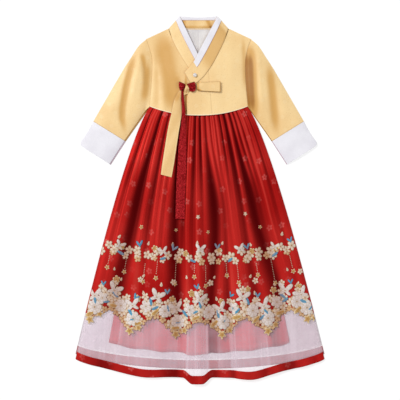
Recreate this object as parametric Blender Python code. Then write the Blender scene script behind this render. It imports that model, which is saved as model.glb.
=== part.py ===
"""A girl's hanbok, laid flat: a jacket (jeogori) over a gathered skirt (chima) with a sheer border.

Run it with  blender --background --python part.py  or from Blender's text editor.

Metres, +Z up. The garment lies on its back on the plane Z = 0, the collar towards +Y and its
front facing +Z. The origin is the middle of its outline, on the surface that it lies on. Every panel
is a grid bent to its outline and to a height, with a lower face below it, so that the layers lie on
each other as they do when the garment is laid out.
"""

import bisect
import math
from typing import NamedTuple

import bmesh
import bpy

# ---- cloth and gaps -------------------------------------------------------------------------
GAP = 0.0003  # between two layers, and between two pieces at a seam
LOOSE = 0.0008  # between two curved layers whose grids differ
FLAT_CLOTH = 0.0010  # the layers that lie flat underneath
JACKET_CLOTH = 0.0012  # lined silk of the jacket's fronts and sleeves
COLLAR_CLOTH = 0.0014  # the interfaced collar band
STRIP_CLOTH = 0.0010  # the white collar strip, and the embroidered bands
RIBBON_CLOTH = 0.0011
PLEAT_CLOTH = (0.0014, 0.0021)  # measured straight down, at the waist and from the hips down

# ---- jacket, about its own middle line ------------------------------------------------------
JACKET_MIDDLE = -0.0036  # where that line is
SHOULDER = (0.1365, 0.4180)  # where the shoulder line meets the sleeve
NECK_SIDE = (0.0770, 0.4460)  # where the collar's lower edge crosses the shoulder line
NECK_TOP = (0.0493, 0.4774)  # the collar's highest corner
ARMHOLE = [
    (0.128, 0.243),
    (0.1235, 0.291),
    (0.1213, 0.332),
    (0.1217, 0.365),
    (0.128, 0.394),
    SHOULDER,
]
JACKET_HEM = 0.2190  # the jacket's lower edge at the middle
JACKET_HEM_RISE = 0.0240  # and how much higher it is at the sides
HEM_RISE_SHAPE = 2.2
BACK_HEM_SHORTER = 0.004
OVERLAP_EDGE = -0.030  # the free edge of the outer front
GORE_SEAM = [(0.0348, JACKET_HEM), (0.0244, 0.345)]  # the seam between outer front and gore
TUCK_UNDER = 0.012  # how far the inner front goes on past the middle, under the outer one
CHEST_HEIGHT = (0.0075, 0.0122)  # the jacket's upper face at the middle: under the collar, at the hem
SIDE_HEIGHT = (0.0025, 0.0072)  # and along the armhole: at the shoulder, at the hem
CHEST_SHAPE = 4  # a larger one gives a flatter chest and steeper sides
FOLD_HEIGHT = 0.0025  # the upper face of a front layer where it folds over to the back
SHOULDER_ROUND = 0.045  # how far below the shoulder line the front has risen
OVERLAP_LIFT = 0.0036  # how much higher the outer front lies than the inner one
OVERLAP_FADES = (0.020, 0.105)  # and the stretch over which that fades out towards the sleeve

COLLAR_BACK_SEAM = 0.4670  # between the back collar and its white strip
COLLAR_RISE = 0.012  # the length over which the front collar rises from the back one onto the front
STRIP_SHARE = 0.36  # of the collar's width that the white strip covers
STRIP_END = 0.79  # of the outer collar's length

CUFF_SEAM = [(0.1901, 0.1524), (0.2732, 0.2041)]
CUFF_END = [(0.2291, 0.0920), (0.2680, 0.1169), (0.2985, 0.1364), (0.3060, 0.1430), (0.3062, 0.1510)]
SLEEVE_CROWN = (0.0072, 0.0042)  # how far the sleeve's upper layer stands up: at its middle, at the cuff
ARMHOLE_FOLD = [(0.136, 0.330), (0.1425, 0.255)]
SLEEVE_FOLD = [(0.183, 0.346), (0.199, 0.290), (0.202, 0.225), (0.198, 0.172)]
SLEEVE_FOLD_DEPTH = 0.0034
SLEEVE_FOLD_REACH = 0.011

# ---- skirt ----------------------------------------------------------------------------------
WAIST = 0.283  # where the gathers start, under the jacket
WAIST_HALF = 0.118
HIP = 0.2415  # the height at which the skirt comes out from under the jacket
HIP_HALF = 0.1262
HEM_SIDE = -0.413  # the hem at the side folds
HEM_HALF = 0.3235
FLARE_SHAPE = 0.77  # the sides flare most just below the jacket
WAIST_RISE = (0.145, 0.213)  # the stretch over which the skirt rises onto the jacket's back
WAIST_SAG = 0.006  # how much lower the middle of a level line lies than its ends: at the waist
HEM_SAG = 0.048  # and at the hem
SAG_SHAPE = 0.80
BACK_SHORTER = (0.010, 0.011)  # the back's hem: higher at the sides, and that much more at the middle
CENTRE_FOLD = (0.442, 0.533)  # the two sides of the fold that lies uppermost, as shares of the width
CENTRE_EDGE = 0.012  # how soft its two sides are
CENTRE_DROP = 0.0166  # how much lower the hem lies on it
CENTRE_LIFT = 0.003  # how much higher its lower half lies
HEM_FOLDS = [(0.270, 0.080, 0.0065), (0.715, 0.075, 0.0105)]  # softer ones: middle, reach, drop
HEM_BAND = 0.9725  # where the red hem band starts, as a share of the skirt's length
SATIN_END = 0.815  # where the red cloth gives way to the sheer one, at the middle of a scallop's slope
SCALLOPS = 5
SCALLOP_DEPTH = 0.026
BORDER_TOP = 0.695  # where the embroidered border starts
SEAM_STEP = 0.0006  # a seam's gap, as a share of the skirt's length
CREST = (0.0078, 0.0165)  # height of the pleats' tops: at the waist, and lower down
VALLEY = (0.0058, 0.0066)  # lowest upper face where the underskirt lies below
HEM_SETTLES = 0.003  # how much lower the crests lie at the hem
SIDE_FOLD = 0.0034  # upper face along the skirt's side folds
SIDE_SHAPE = (4, 12)  # how sharply the skirt turns down there: at the waist, lower down

UNDERSKIRT_HALF = (0.088, 0.2350)  # at the waist, at its hem
UNDERSKIRT_MIDDLE = -0.002  # of its hem
UNDERSKIRT_HEM = (-0.3700, -0.3975)  # at the sides, at the middle
WAISTBAND_HEIGHT = 0.036

# ---- ties, button ---------------------------------------------------------------------------
GOLD_TAIL = [(-0.041, 0.293), (-0.0525, 0.262), (-0.0588, 0.222), (-0.0655, 0.170), (-0.0755, 0.118), (-0.0853, 0.063)]
GOLD_TAIL_WIDTH = [0.013, 0.022, 0.0295, 0.0300, 0.0295, 0.0290]
RED_TAIL = [(-0.0375, 0.288), (-0.0385, 0.247), (-0.0412, 0.182), (-0.0460, 0.105), (-0.0490, 0.028), (-0.0503, -0.049)]
RED_TAIL_WIDTH = [0.009, 0.010, 0.0175, 0.0220, 0.0245, 0.0245]
TIE_REACH = 0.012  # how far along it a tie bridges a hollow
KNOT = (-0.0530, -0.0335, -0.0085)  # left end, pinch and right end
KNOT_HALF = (0.0112, 0.0046, 0.0138)  # half its height there
KNOT_MIDDLE = 0.2955
KNOT_DOME = 0.0075
LOOP = [(-0.0060, 0.2935), (0.0540, 0.2930)]
LOOP_WIDTH = (0.0200, 0.0265)
LOOP_SPREAD = 0.0034  # between the middles of the loop's two layers
BUTTON = (-0.0095, 0.3243)
BUTTON_RADIUS = 0.0052
BUTTON_HALF_HEIGHT = 0.0030

JACKET_ROWS = 10


class Colour(NamedTuple):
    """A finish: its red, green and blue, its roughness and its sheen."""

    rgb: tuple
    roughness: float
    sheen: float


GOLD_SILK = Colour((0.87, 0.66, 0.38), 0.55, 0.4)
RED_SATIN = Colour((0.50, 0.022, 0.022), 0.38, 0.3)
RED_RIBBON = Colour((0.30, 0.010, 0.016), 0.45, 0.3)
WHITE_COTTON = Colour((0.86, 0.85, 0.90), 0.75, 0.1)
WHITE_LINING = Colour((0.80, 0.78, 0.78), 0.70, 0.1)
ORGANZA = Colour((0.84, 0.80, 0.84), 0.50, 0.2)
RED_LINING = Colour((0.55, 0.060, 0.070), 0.60, 0.1)
EMBROIDERY = Colour((0.82, 0.68, 0.50), 0.60, 0.2)
PEARL = Colour((0.85, 0.82, 0.78), 0.25, 0.0)


class Pleat(NamedTuple):
    """A valley between two pleats: where it is (shares of the skirt's width), its reach and depth."""

    waist: float
    hem: float
    reach_waist: float
    reach_hem: float
    depth_waist: float
    depth_hem: float

    def middle(self, v):
        """Where it is, v down from the waist: the pleats spread most just below the jacket."""
        return self.waist + (self.hem - self.waist) * v**0.7

    def reach(self, v):
        """How far it reaches to either side."""
        return self.reach_waist + (self.reach_hem - self.reach_waist) * v**0.8

    def depth(self, v):
        """The share of the pleats' height that it takes away."""
        return self.depth_waist + (self.depth_hem - self.depth_waist) * ramp(0.0, 0.9, v)


PLEATS = [
    Pleat(0.044, 0.045, 0.012, 0.020, 0.80, 0.25),
    Pleat(0.095, 0.080, 0.010, 0.010, 0.60, 0.00),
    Pleat(0.148, 0.122, 0.012, 0.040, 0.90, 0.95),
    Pleat(0.190, 0.175, 0.010, 0.012, 0.60, 0.10),
    Pleat(0.222, 0.215, 0.010, 0.022, 0.80, 0.60),
    Pleat(0.262, 0.270, 0.010, 0.016, 0.60, 0.30),
    Pleat(0.300, 0.305, 0.010, 0.016, 0.70, 0.25),
    Pleat(0.347, 0.372, 0.012, 0.032, 0.90, 0.90),
    Pleat(0.400, 0.425, 0.010, 0.018, 0.80, 0.65),
    Pleat(0.462, 0.470, 0.010, 0.012, 0.70, 0.15),
    Pleat(0.512, 0.555, 0.012, 0.022, 0.90, 0.90),
    Pleat(0.545, 0.592, 0.010, 0.022, 0.80, 0.80),
    Pleat(0.585, 0.632, 0.010, 0.016, 0.70, 0.45),
    Pleat(0.635, 0.655, 0.010, 0.012, 0.60, 0.15),
    Pleat(0.680, 0.672, 0.011, 0.018, 0.80, 0.40),
    Pleat(0.733, 0.748, 0.011, 0.026, 0.85, 0.75),
    Pleat(0.775, 0.795, 0.010, 0.018, 0.70, 0.45),
    Pleat(0.815, 0.835, 0.012, 0.036, 0.90, 0.95),
    Pleat(0.865, 0.882, 0.010, 0.020, 0.75, 0.50),
    Pleat(0.905, 0.915, 0.009, 0.012, 0.60, 0.10),
    Pleat(0.945, 0.945, 0.011, 0.020, 0.75, 0.30),
]

VALLEY_SHAPE = 1.7  # a larger one gives flatter crests and steeper sides
FOLD_LINES = 4 * (len(PLEATS) + 1)
EDGE_REACH = 0.012  # of the roll at the skirt's side folds
SHOULDER_REACH = 1.15  # how far from a valley its shoulder is, in the valley's own reach
SHOULDER_SHARE = 0.36  # and at most that share of the way to the next valley


# ---- small mathematics ----------------------------------------------------------------------
def mix(a, b, share):
    """The value that lies that share of the way from a to b."""
    return a + (b - a) * share


def ramp(start, end, x):
    """0 before start, 1 after end, and a smooth rise between them."""
    share = min(max((x - start) / (end - start), 0.0), 1.0)
    return share * share * (3 - 2 * share)


def mirrored(points):
    """The same line on the other side of the garment."""
    return [(-x, y) for x, y in points]


def spline(points):
    """A smooth line through the points, as a function of the share of its length."""
    knots = [0.0]
    for a, b in zip(points, points[1:]):
        knots.append(knots[-1] + math.dist(a, b))

    def slope(i, axis):
        a, b = max(i - 1, 0), min(i + 1, len(points) - 1)
        return (points[b][axis] - points[a][axis]) / (knots[b] - knots[a])

    def at(share):
        along = min(max(share, 0.0), 1.0) * knots[-1]
        i = min(bisect.bisect_right(knots, along) - 1, len(points) - 2)
        span = knots[i + 1] - knots[i]
        q = (along - knots[i]) / span
        weights = (2 * q**3 - 3 * q**2 + 1, q**3 - 2 * q**2 + q, 3 * q**2 - 2 * q**3, q**3 - q**2)
        return tuple(
            weights[0] * points[i][axis]
            + weights[1] * span * slope(i, axis)
            + weights[2] * points[i + 1][axis]
            + weights[3] * span * slope(i + 1, axis)
            for axis in (0, 1)
        )

    return at


def chain(first, second, share):
    """Two lines end to end: the first takes that share of the whole."""
    return lambda s: first(s / share) if s < share else second((s - share) / (1 - share))


def patch(bottom, top, left, right):
    """The inside of a four-sided outline, as a function of the shares across and up."""
    corners = (bottom(0), bottom(1), top(0), top(1))

    def at(s, t):
        weights = ((1 - s) * (1 - t), s * (1 - t), (1 - s) * t, s * t)
        return tuple(
            mix(bottom(s)[axis], top(s)[axis], t)
            + mix(left(t)[axis], right(t)[axis], s)
            - sum(w * c[axis] for w, c in zip(weights, corners))
            for axis in (0, 1)
        )

    return at


def distance_to(line, x, y):
    """How far a point is from a line of straight runs."""
    nearest = math.inf
    for (ax, ay), (bx, by) in zip(line, line[1:]):
        dx, dy = bx - ax, by - ay
        share = min(max(((x - ax) * dx + (y - ay) * dy) / (dx * dx + dy * dy), 0.0), 1.0)
        nearest = min(nearest, math.hypot(x - ax - share * dx, y - ay - share * dy))
    return nearest


# ---- the jacket's heights -------------------------------------------------------------------
def shoulder_line(x):
    """Y of the fold between front and back: the collar's top, its slanting side, the shoulder."""
    x = abs(x)
    if x < NECK_TOP[0]:
        return NECK_TOP[1]
    a, b = (NECK_TOP, NECK_SIDE) if x < NECK_SIDE[0] else (NECK_SIDE, SHOULDER)
    return mix(a[1], b[1], (x - a[0]) / (b[0] - a[0]))


def jacket_hem(x):
    """Y of the jacket's lower edge."""
    return JACKET_HEM + JACKET_HEM_RISE * (abs(x) / ARMHOLE[0][0]) ** HEM_RISE_SHAPE


def armhole_half(y):
    """The bodice's half width at a height."""
    heights = [p[1] for p in ARMHOLE]
    i = min(max(bisect.bisect_right(heights, y) - 1, 0), len(ARMHOLE) - 2)
    share = min(max((y - heights[i]) / (heights[i + 1] - heights[i]), 0.0), 1.0)
    return mix(ARMHOLE[i][0], ARMHOLE[i + 1][0], share)


def front_height(x, y):
    """Upper face of the inner front, and what every other front piece is measured from."""
    down = (SHOULDER[1] - y) / (SHOULDER[1] - JACKET_HEM)
    middle = mix(*CHEST_HEIGHT, ramp(0.0, 0.62, down))
    side = mix(*SIDE_HEIGHT, ramp(0.25, 1.0, down))
    flatness = 1 - min(abs(x) / armhole_half(y), 1.0) ** CHEST_SHAPE
    rise = ramp(0.0, SHOULDER_ROUND, shoulder_line(x) - y)
    return FOLD_HEIGHT + rise * (mix(side, middle, flatness) - FOLD_HEIGHT)


def overlap_lift(x, y):
    """How much higher the outer front lies than front_height."""
    across = 1 - ramp(*OVERLAP_FADES, x)
    return OVERLAP_LIFT * across * ramp(0.0, 0.030, shoulder_line(x) - y)


def outer_height(x, y):
    """Upper face of the outer front."""
    return front_height(x, y) + overlap_lift(x, y)


def collar_above(height):
    """Upper face of a collar that lies on that front, and at the neck on the back collar."""
    on_the_back = 2 * COLLAR_CLOTH + GAP - FOLD_HEIGHT
    on_the_front = LOOSE + COLLAR_CLOTH

    def at(x, y):
        return height(x, y) + mix(on_the_back, on_the_front, ramp(0.0, COLLAR_RISE, shoulder_line(x) - y))

    return at


inner_collar_height = collar_above(front_height)
outer_collar_height = collar_above(outer_height)


# ---- the skirt's shape ----------------------------------------------------------------------
def skirt_half(y):
    """The skirt's half width at a height."""
    if y >= HIP:
        return mix(HIP_HALF, WAIST_HALF, (y - HIP) / (WAIST - HIP))
    return mix(HIP_HALF, HEM_HALF, ((HIP - y) / (HIP - HEM_SIDE)) ** FLARE_SHAPE)


def skirt_x(u, v):
    """X of a point of the skirt: its middle line runs from the jacket's to the middle of the hem."""
    return mix(JACKET_MIDDLE, 0.0, v) + (2 * u - 1) * skirt_half(mix(WAIST, HEM_SIDE, v))


def sag(u, v):
    """How much lower a level line lies than at its ends."""
    return mix(WAIST_SAG, HEM_SAG, v) * max(4 * u * (1 - u), 0.0) ** SAG_SHAPE


def centre_fold(u):
    """1 on the fold that lies uppermost, 0 beside it."""
    rise, fall = (ramp(edge - CENTRE_EDGE, edge + CENTRE_EDGE, u) for edge in CENTRE_FOLD)
    return rise * (1 - fall)


def hem_drop(u, v):
    """How much lower the hem lies on the folds that come forward."""
    others = sum(drop * math.exp(-(((u - middle) / reach) ** 2)) for middle, reach, drop in HEM_FOLDS)
    return v**4 * (CENTRE_DROP * centre_fold(u) + others)


def skirt_plan(u, v):
    """Where a point of the skirt's front lies: u across from its left, v down from the waist."""
    return skirt_x(u, v), mix(WAIST, HEM_SIDE, v) - sag(u, v) - hem_drop(u, v)


def skirt_back_plan(u, v):
    """The same for the back, which is a little shorter."""
    shorter = BACK_SHORTER[0] + BACK_SHORTER[1] * 4 * u * (1 - u)
    return skirt_x(u, v), mix(WAIST, HEM_SIDE, v) - sag(u, v) + shorter * v**2


def waist_lift(y):
    """How much higher the skirt lies where the jacket's back is under it."""
    return (FLAT_CLOTH + GAP) * ramp(*WAIST_RISE, y)


def pleat_profile(u, v):
    """Share of the pleats' height that is left at a point, from 0 in a valley to 1 on a crest."""
    left = 1.0
    for pleat in PLEATS:
        away = abs(u - pleat.middle(v)) / pleat.reach(v)
        left *= 1 - pleat.depth(v) * math.exp(-(away**VALLEY_SHAPE))
    return left


def fold_line(index, v):
    """Where the grid's lines run across the skirt: along each valley, its two shoulders and a crest."""
    i, step = divmod(index, 4)
    if i >= len(PLEATS) + 1:
        return 1.0
    ends = [0.0, *(pleat.middle(v) for pleat in PLEATS), 1.0]
    reaches = [EDGE_REACH, *(pleat.reach(v) for pleat in PLEATS), EDGE_REACH]
    gap = ends[i + 1] - ends[i]
    left = ends[i] + min(SHOULDER_REACH * reaches[i], SHOULDER_SHARE * gap)
    right = ends[i + 1] - min(SHOULDER_REACH * reaches[i + 1], SHOULDER_SHARE * gap)
    return (ends[i], left, (left + right) / 2, right)[step]


def skirt_height(u, v):
    """Upper face of the skirt's front."""
    crest = mix(*CREST, ramp(0.02, 0.50, v)) - HEM_SETTLES * ramp(0.75, 1.0, v)
    edge = abs(2 * u - 1) ** mix(*SIDE_SHAPE, ramp(0.05, 0.40, v))
    floor = mix(SIDE_FOLD, mix(*VALLEY, ramp(0.0, 0.2, v)), underskirt_cover(u, v))
    top = mix(crest, SIDE_FOLD, edge) + CENTRE_LIFT * centre_fold(u) * ramp(0.45, 0.9, v)
    height = floor + max(top - floor, 0.0) * pleat_profile(u, v)
    return height + waist_lift(skirt_plan(u, v)[1])


def underskirt_half(v):
    """The underskirt's half width, v as a share of its own length."""
    return mix(*UNDERSKIRT_HALF, v**0.85)


def underskirt_cover(u, v):
    """1 where the underskirt lies below the skirt's front, 0 towards the skirt's sides."""
    x, y = skirt_plan(u, v)
    own = min(max((WAIST - y) / (WAIST - UNDERSKIRT_HEM[0]), 0.0), 1.0)
    return 1 - ramp(0.004, 0.022, abs(x - underskirt_middle(own)) - underskirt_half(own))


def underskirt_middle(v):
    """X of the underskirt's middle line."""
    return mix(JACKET_MIDDLE, UNDERSKIRT_MIDDLE, v)


def underskirt_plan(u, v):
    """Where a point of the underskirt lies."""
    bow = 4 * u * (1 - u)
    hem = mix(*UNDERSKIRT_HEM, bow**0.8)
    x = underskirt_middle(v) + (2 * u - 1) * underskirt_half(v)
    return x, mix(WAIST - WAIST_SAG * bow, hem, v)


def scallop(u):
    """The wavy line where the red cloth ends, in shares of the skirt's length."""
    return SATIN_END + SCALLOP_DEPTH * math.cos(2 * math.pi * SCALLOPS * u)


def pleat_thickness(v):
    """The skirt front's wall, measured straight down: its slopes make it thinner than that."""
    return mix(*PLEAT_CLOTH, ramp(0.0, 0.35, v))


# ---- making the solids ----------------------------------------------------------------------
def clear_scene():
    """Removes what the scene holds."""
    for thing in list(bpy.data.objects):
        bpy.data.objects.remove(thing)


def material(name, colour):
    """A Principled material of that colour, made once."""
    made = bpy.data.materials.get(name)
    if made is None:
        made = bpy.data.materials.new(name)
        made.use_nodes = True
        shader = made.node_tree.nodes["Principled BSDF"]
        shader.inputs["Base Color"].default_value = (*colour.rgb, 1.0)
        shader.inputs["Roughness"].default_value = colour.roughness
        shader.inputs["Sheen Weight"].default_value = colour.sheen
    return made


class Garment:
    """Holds the collection that the pieces go into."""

    def __init__(self, name):
        self.collection = bpy.data.collections.new(name)
        bpy.context.scene.collection.children.link(self.collection)

    def add(self, name, mesh, finish, colour):
        """Puts a finished mesh into the garment as a piece of that name."""
        piece = bpy.data.objects.new(name, mesh)
        mesh.materials.append(material(finish, colour))
        mesh.shade_smooth()
        mesh.set_sharp_from_angle(angle=math.radians(50))
        self.collection.objects.link(piece)
        return piece

    def panel(self, name, upper, columns, rows, thickness, finish, colour):
        """A cloth panel: a grid bent to its upper face, and a lower face straight below it.

        upper(s, t) is a point of the upper face; thickness is a size or a function of (s, t).
        """
        mesh = bpy.data.meshes.new(name)
        cloth = bmesh.new()
        bmesh.ops.create_grid(cloth, x_segments=columns, y_segments=rows, size=0.5)
        shares = {v: (v.co.x + 0.5, v.co.y + 0.5) for v in cloth.verts}
        faces = cloth.faces[:]
        wall = bmesh.ops.extrude_face_region(cloth, geom=faces, use_keep_orig=True)
        below = [v for v in wall["geom"] if isinstance(v, bmesh.types.BMVert)]
        for vertex in below:
            s, t = vertex.co.x + 0.5, vertex.co.y + 0.5
            depth = thickness(s, t) if callable(thickness) else thickness
            x, y, z = upper(s, t)
            vertex.co = (x, y, z - depth)
        for vertex, (s, t) in shares.items():
            vertex.co = upper(s, t)
        bmesh.ops.recalc_face_normals(cloth, faces=cloth.faces[:])
        cloth.to_mesh(mesh)
        cloth.free()
        return self.add(name, mesh, finish, colour)


def lay(plan, height):
    """A plan about the jacket's middle line and a height above it, as one function of points."""

    def at(s, t):
        x, y = plan(s, t)
        return x + JACKET_MIDDLE, y, height(x, y)

    return at


def at_level(level):
    """A height that is the same everywhere."""
    return lambda x, y: level


# ---- the jacket's pieces --------------------------------------------------------------------
def hem_line(start, end, shorter=0.0):
    """The jacket's lower edge between two places, as a line."""
    return lambda s: (mix(start, end, s), jacket_hem(mix(start, end, s)) + shorter)


def straight(a, b):
    """The straight line from a to b."""
    return lambda s: (mix(a[0], b[0], s), mix(a[1], b[1], s))


def collar_plans():
    """The two front stretches of the collar: inner one first. s runs down, t from neck to seam."""
    inner = (
        spline([(-NECK_TOP[0], NECK_TOP[1]), (-0.0452, 0.4690), (-0.0020, 0.3790), (0.0060, 0.3620)]),
        spline([(-NECK_SIDE[0], NECK_SIDE[1]), (-0.0689, 0.4176), (-0.0528, 0.3850), (-0.0265, 0.3422), (-0.0150, 0.3250)]),
    )
    outer = (
        spline([NECK_TOP, (0.0452, 0.4690), (-0.0020, 0.3790), (-0.0122, 0.3590), (-0.0364, 0.3294)]),
        spline([NECK_SIDE, (0.0684, 0.4176), (0.0536, 0.3850), (0.0309, 0.3435), (0.0070, 0.3130), (-0.0170, 0.2950)]),
    )

    def plan(edges):
        return lambda s, t: tuple(mix(edges[0](s)[axis], edges[1](s)[axis], t) for axis in (0, 1))

    return plan(inner), plan(outer)


def make_back(garment):
    """The jacket's back, flat on the surface, and the lining that shows in the neck."""
    neck = NECK_SIDE[1] - GAP

    def top(s):
        x = mix(-SHOULDER[0], SHOULDER[0], s)
        return x, min(neck, shoulder_line(x))

    back = patch(
        hem_line(-ARMHOLE[0][0], ARMHOLE[0][0], BACK_HEM_SHORTER),
        top,
        spline(mirrored(ARMHOLE)),
        spline(ARMHOLE),
    )
    garment.panel("jacket_back", lay(back, at_level(FLAT_CLOTH)), 12, 8, FLAT_CLOTH, "gold_silk", GOLD_SILK)
    lining = patch(
        straight((-0.040, 0.335), (0.040, 0.335)),
        straight((-0.058, 0.4432), (0.058, 0.4432)),
        straight((-0.040, 0.335), (-0.058, 0.4432)),
        straight((0.040, 0.335), (0.058, 0.4432)),
    )
    level = at_level(2 * FLAT_CLOTH + GAP)
    garment.panel("back_lining", lay(lining, level), 2, 2, FLAT_CLOTH, "white_lining", WHITE_LINING)


def make_fronts(garment):
    """The inner front, and the outer front with its gore, which lies over it."""
    shoulder = (NECK_SIDE[0] + 0.0015, shoulder_line(NECK_SIDE[0] + 0.0015) - GAP)
    inner = patch(
        hem_line(-ARMHOLE[0][0], TUCK_UNDER),
        straight((-SHOULDER[0], SHOULDER[1]), (-shoulder[0], shoulder[1])),
        spline(mirrored(ARMHOLE)),
        spline(
            [
                (TUCK_UNDER, jacket_hem(TUCK_UNDER)),
                (TUCK_UNDER, 0.270),
                (0.002, 0.315),
                (-0.020, 0.347),
                (-0.047, 0.3895),
                (-0.0695, 0.4205),
                (-shoulder[0], shoulder[1]),
            ]
        ),
    )
    garment.panel("front_inner", lay(inner, front_height), 14, JACKET_ROWS, JACKET_CLOTH, "gold_silk", GOLD_SILK)
    seam_low, seam_high = (GORE_SEAM[0][0], jacket_hem(GORE_SEAM[0][0])), GORE_SEAM[1]
    outer = patch(
        hem_line(seam_low[0], ARMHOLE[0][0]),
        straight(shoulder, SHOULDER),
        chain(straight(seam_low, seam_high), spline([seam_high, (0.0475, 0.3895), (0.0690, 0.4215), shoulder]), 0.5),
        spline(ARMHOLE),
    )
    garment.panel("front_outer", lay(outer, outer_height), 12, JACKET_ROWS, JACKET_CLOTH, "gold_silk", GOLD_SILK)
    left_low = (OVERLAP_EDGE, jacket_hem(OVERLAP_EDGE))
    left_high = (-0.0225, 0.3035)
    gore = patch(
        hem_line(OVERLAP_EDGE, seam_low[0] - GAP),
        straight(left_high, (seam_high[0] - GAP, seam_high[1])),
        spline([left_low, (-0.0295, 0.262), left_high]),
        straight((seam_low[0] - GAP, seam_low[1]), (seam_high[0] - GAP, seam_high[1])),
    )
    garment.panel("front_gore", lay(gore, outer_height), 6, 8, JACKET_CLOTH, "gold_silk", GOLD_SILK)


def make_collar(garment):
    """The collar band in its three stretches, and the white strip along each."""
    inner, outer = collar_plans()
    height_over = STRIP_CLOTH + GAP

    def part_of(plan, length):
        return lambda s, t: plan(s * length, t * STRIP_SHARE)

    def raised(height):
        return lambda x, y: height(x, y) + height_over

    for name, plan, height, length in (
        ("inner", inner, inner_collar_height, 0.98),
        ("outer", outer, outer_collar_height, STRIP_END),
    ):
        garment.panel(f"collar_{name}", lay(plan, height), 18, 4, COLLAR_CLOTH, "gold_silk", GOLD_SILK)
        strip = lay(part_of(plan, length), raised(height))
        garment.panel(f"collar_strip_{name}", strip, 14, 2, STRIP_CLOTH, "white_cotton", WHITE_COTTON)
    side = (NECK_TOP[0] - NECK_SIDE[0]) / (NECK_TOP[1] - NECK_SIDE[1])

    def edge(y):
        return NECK_SIDE[0] - GAP + side * (y - NECK_SIDE[1])

    low, seam, top = NECK_SIDE[1] + GAP, COLLAR_BACK_SEAM, NECK_TOP[1]
    band = patch(
        straight((-edge(low), low), (edge(low), low)),
        straight((-edge(seam), seam), (edge(seam), seam)),
        straight((-edge(low), low), (-edge(seam), seam)),
        straight((edge(low), low), (edge(seam), seam)),
    )
    garment.panel("collar_back", lay(band, at_level(COLLAR_CLOTH)), 8, 1, COLLAR_CLOTH, "gold_silk", GOLD_SILK)
    seam += GAP
    strip = patch(
        straight((-edge(seam), seam), (edge(seam), seam)),
        spline([(-edge(top), top), (0.0, top - 0.0032), (edge(top), top)]),
        straight((-edge(seam), seam), (-edge(top), top)),
        straight((edge(seam), seam), (edge(top), top)),
    )
    garment.panel("collar_strip_back", lay(strip, at_level(COLLAR_CLOTH)), 8, 1, COLLAR_CLOTH, "white_cotton", WHITE_COTTON)


def sleeve_height(s, t, x, y):
    """Upper face of a sleeve's front layer: s from armhole to cuff, t from seam to top fold."""
    crown = mix(SLEEVE_CROWN[0], SLEEVE_CROWN[1], ramp(0.3, 1.0, s))
    free = FOLD_HEIGHT + crown * (1 - abs(2 * t - 1) ** 3)
    for line in (ARMHOLE_FOLD, SLEEVE_FOLD):
        dip = math.exp(-((distance_to(line, x, y) / SLEEVE_FOLD_REACH) ** 2))
        free -= SLEEVE_FOLD_DEPTH * dip * (1 - abs(2 * t - 1) ** 3) * ramp(0.02, 0.12, s)
    bodice = front_height(*spline(ARMHOLE)(t))
    return mix(bodice, free, ramp(0.0, 0.22, s))


def sleeve_patch():
    """The right sleeve's outline, clear of the armhole by a gap."""
    return patch(
        straight(ARMHOLE[0], CUFF_SEAM[0]),
        spline([SHOULDER, (0.1547, 0.4007), (0.1755, 0.3695), (0.1955, 0.3383), CUFF_SEAM[1]]),
        spline(ARMHOLE),
        straight(*CUFF_SEAM),
    )


def cuff_patch():
    """The right cuff's outline, clear of the sleeve by a gap."""
    away = (0.48 * 2 * GAP, -0.88 * 2 * GAP)
    low = tuple(CUFF_SEAM[0][axis] + away[axis] for axis in (0, 1))
    high = tuple(CUFF_SEAM[1][axis] + away[axis] for axis in (0, 1))
    return patch(
        straight(low, CUFF_END[0]),
        spline([high, (0.2900, 0.1738), CUFF_END[-1]]),
        straight(low, high),
        spline(CUFF_END),
    )


def make_sleeves(garment):
    """Both sleeves and both white cuffs, each as an upper and a lower layer."""
    sleeve, cuff = sleeve_patch(), cuff_patch()

    def cuff_height(s, t):
        crown = mix(SLEEVE_CROWN[1], 0.8 * SLEEVE_CROWN[1], s)
        return FOLD_HEIGHT + crown * (1 - abs(2 * t - 1) ** 3)

    for side, name in ((-1, "right"), (1, "left")):

        def sleeve_front(s, t, side=side):
            x, y = sleeve(s, t)
            return JACKET_MIDDLE + side * (x + GAP), y, sleeve_height(s, t, x, y)

        def cuff_front(s, t, side=side):
            x, y = cuff(s, t)
            return JACKET_MIDDLE + side * (x + GAP), y, cuff_height(s, t)

        def under(plan, side=side):
            return lambda s, t: (JACKET_MIDDLE + side * (plan(s, t)[0] + GAP), plan(s, t)[1], FLAT_CLOTH)

        garment.panel(f"sleeve_{name}_front", sleeve_front, 11, JACKET_ROWS, JACKET_CLOTH, "gold_silk", GOLD_SILK)
        garment.panel(f"sleeve_{name}_back", under(sleeve), 4, 8, FLAT_CLOTH, "gold_silk", GOLD_SILK)
        garment.panel(f"cuff_{name}_front", cuff_front, 4, 8, JACKET_CLOTH, "white_cotton", WHITE_COTTON)
        garment.panel(f"cuff_{name}_back", under(cuff), 2, 6, FLAT_CLOTH, "white_cotton", WHITE_COTTON)


# ---- the skirt's pieces ---------------------------------------------------------------------
def skirt_front_piece(garment, name, lines, rows, finish, colour, raise_by=0.0):
    """A piece of the pleated face: it runs down between the lines, with that many rows between two."""
    steps = [(line, i / count) for line, count in enumerate(rows) for i in range(count)]
    steps.append((len(rows), 0.0))

    def place(s, t):
        index = round(s * FOLD_LINES)
        line, share = steps[round((1 - t) * (len(steps) - 1))]
        u = fold_line(index, SATIN_END)
        v = mix(lines[line](u), lines[min(line + 1, len(lines) - 1)](u), share)
        return fold_line(index, v), v

    def upper(s, t):
        u, v = place(s, t)
        return (*skirt_plan(u, v), skirt_height(u, v) + raise_by)

    thickness = STRIP_CLOTH if raise_by else (lambda s, t: pleat_thickness(place(s, t)[1]))
    garment.panel(name, upper, FOLD_LINES, len(steps) - 1, thickness, finish, colour)


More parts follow.
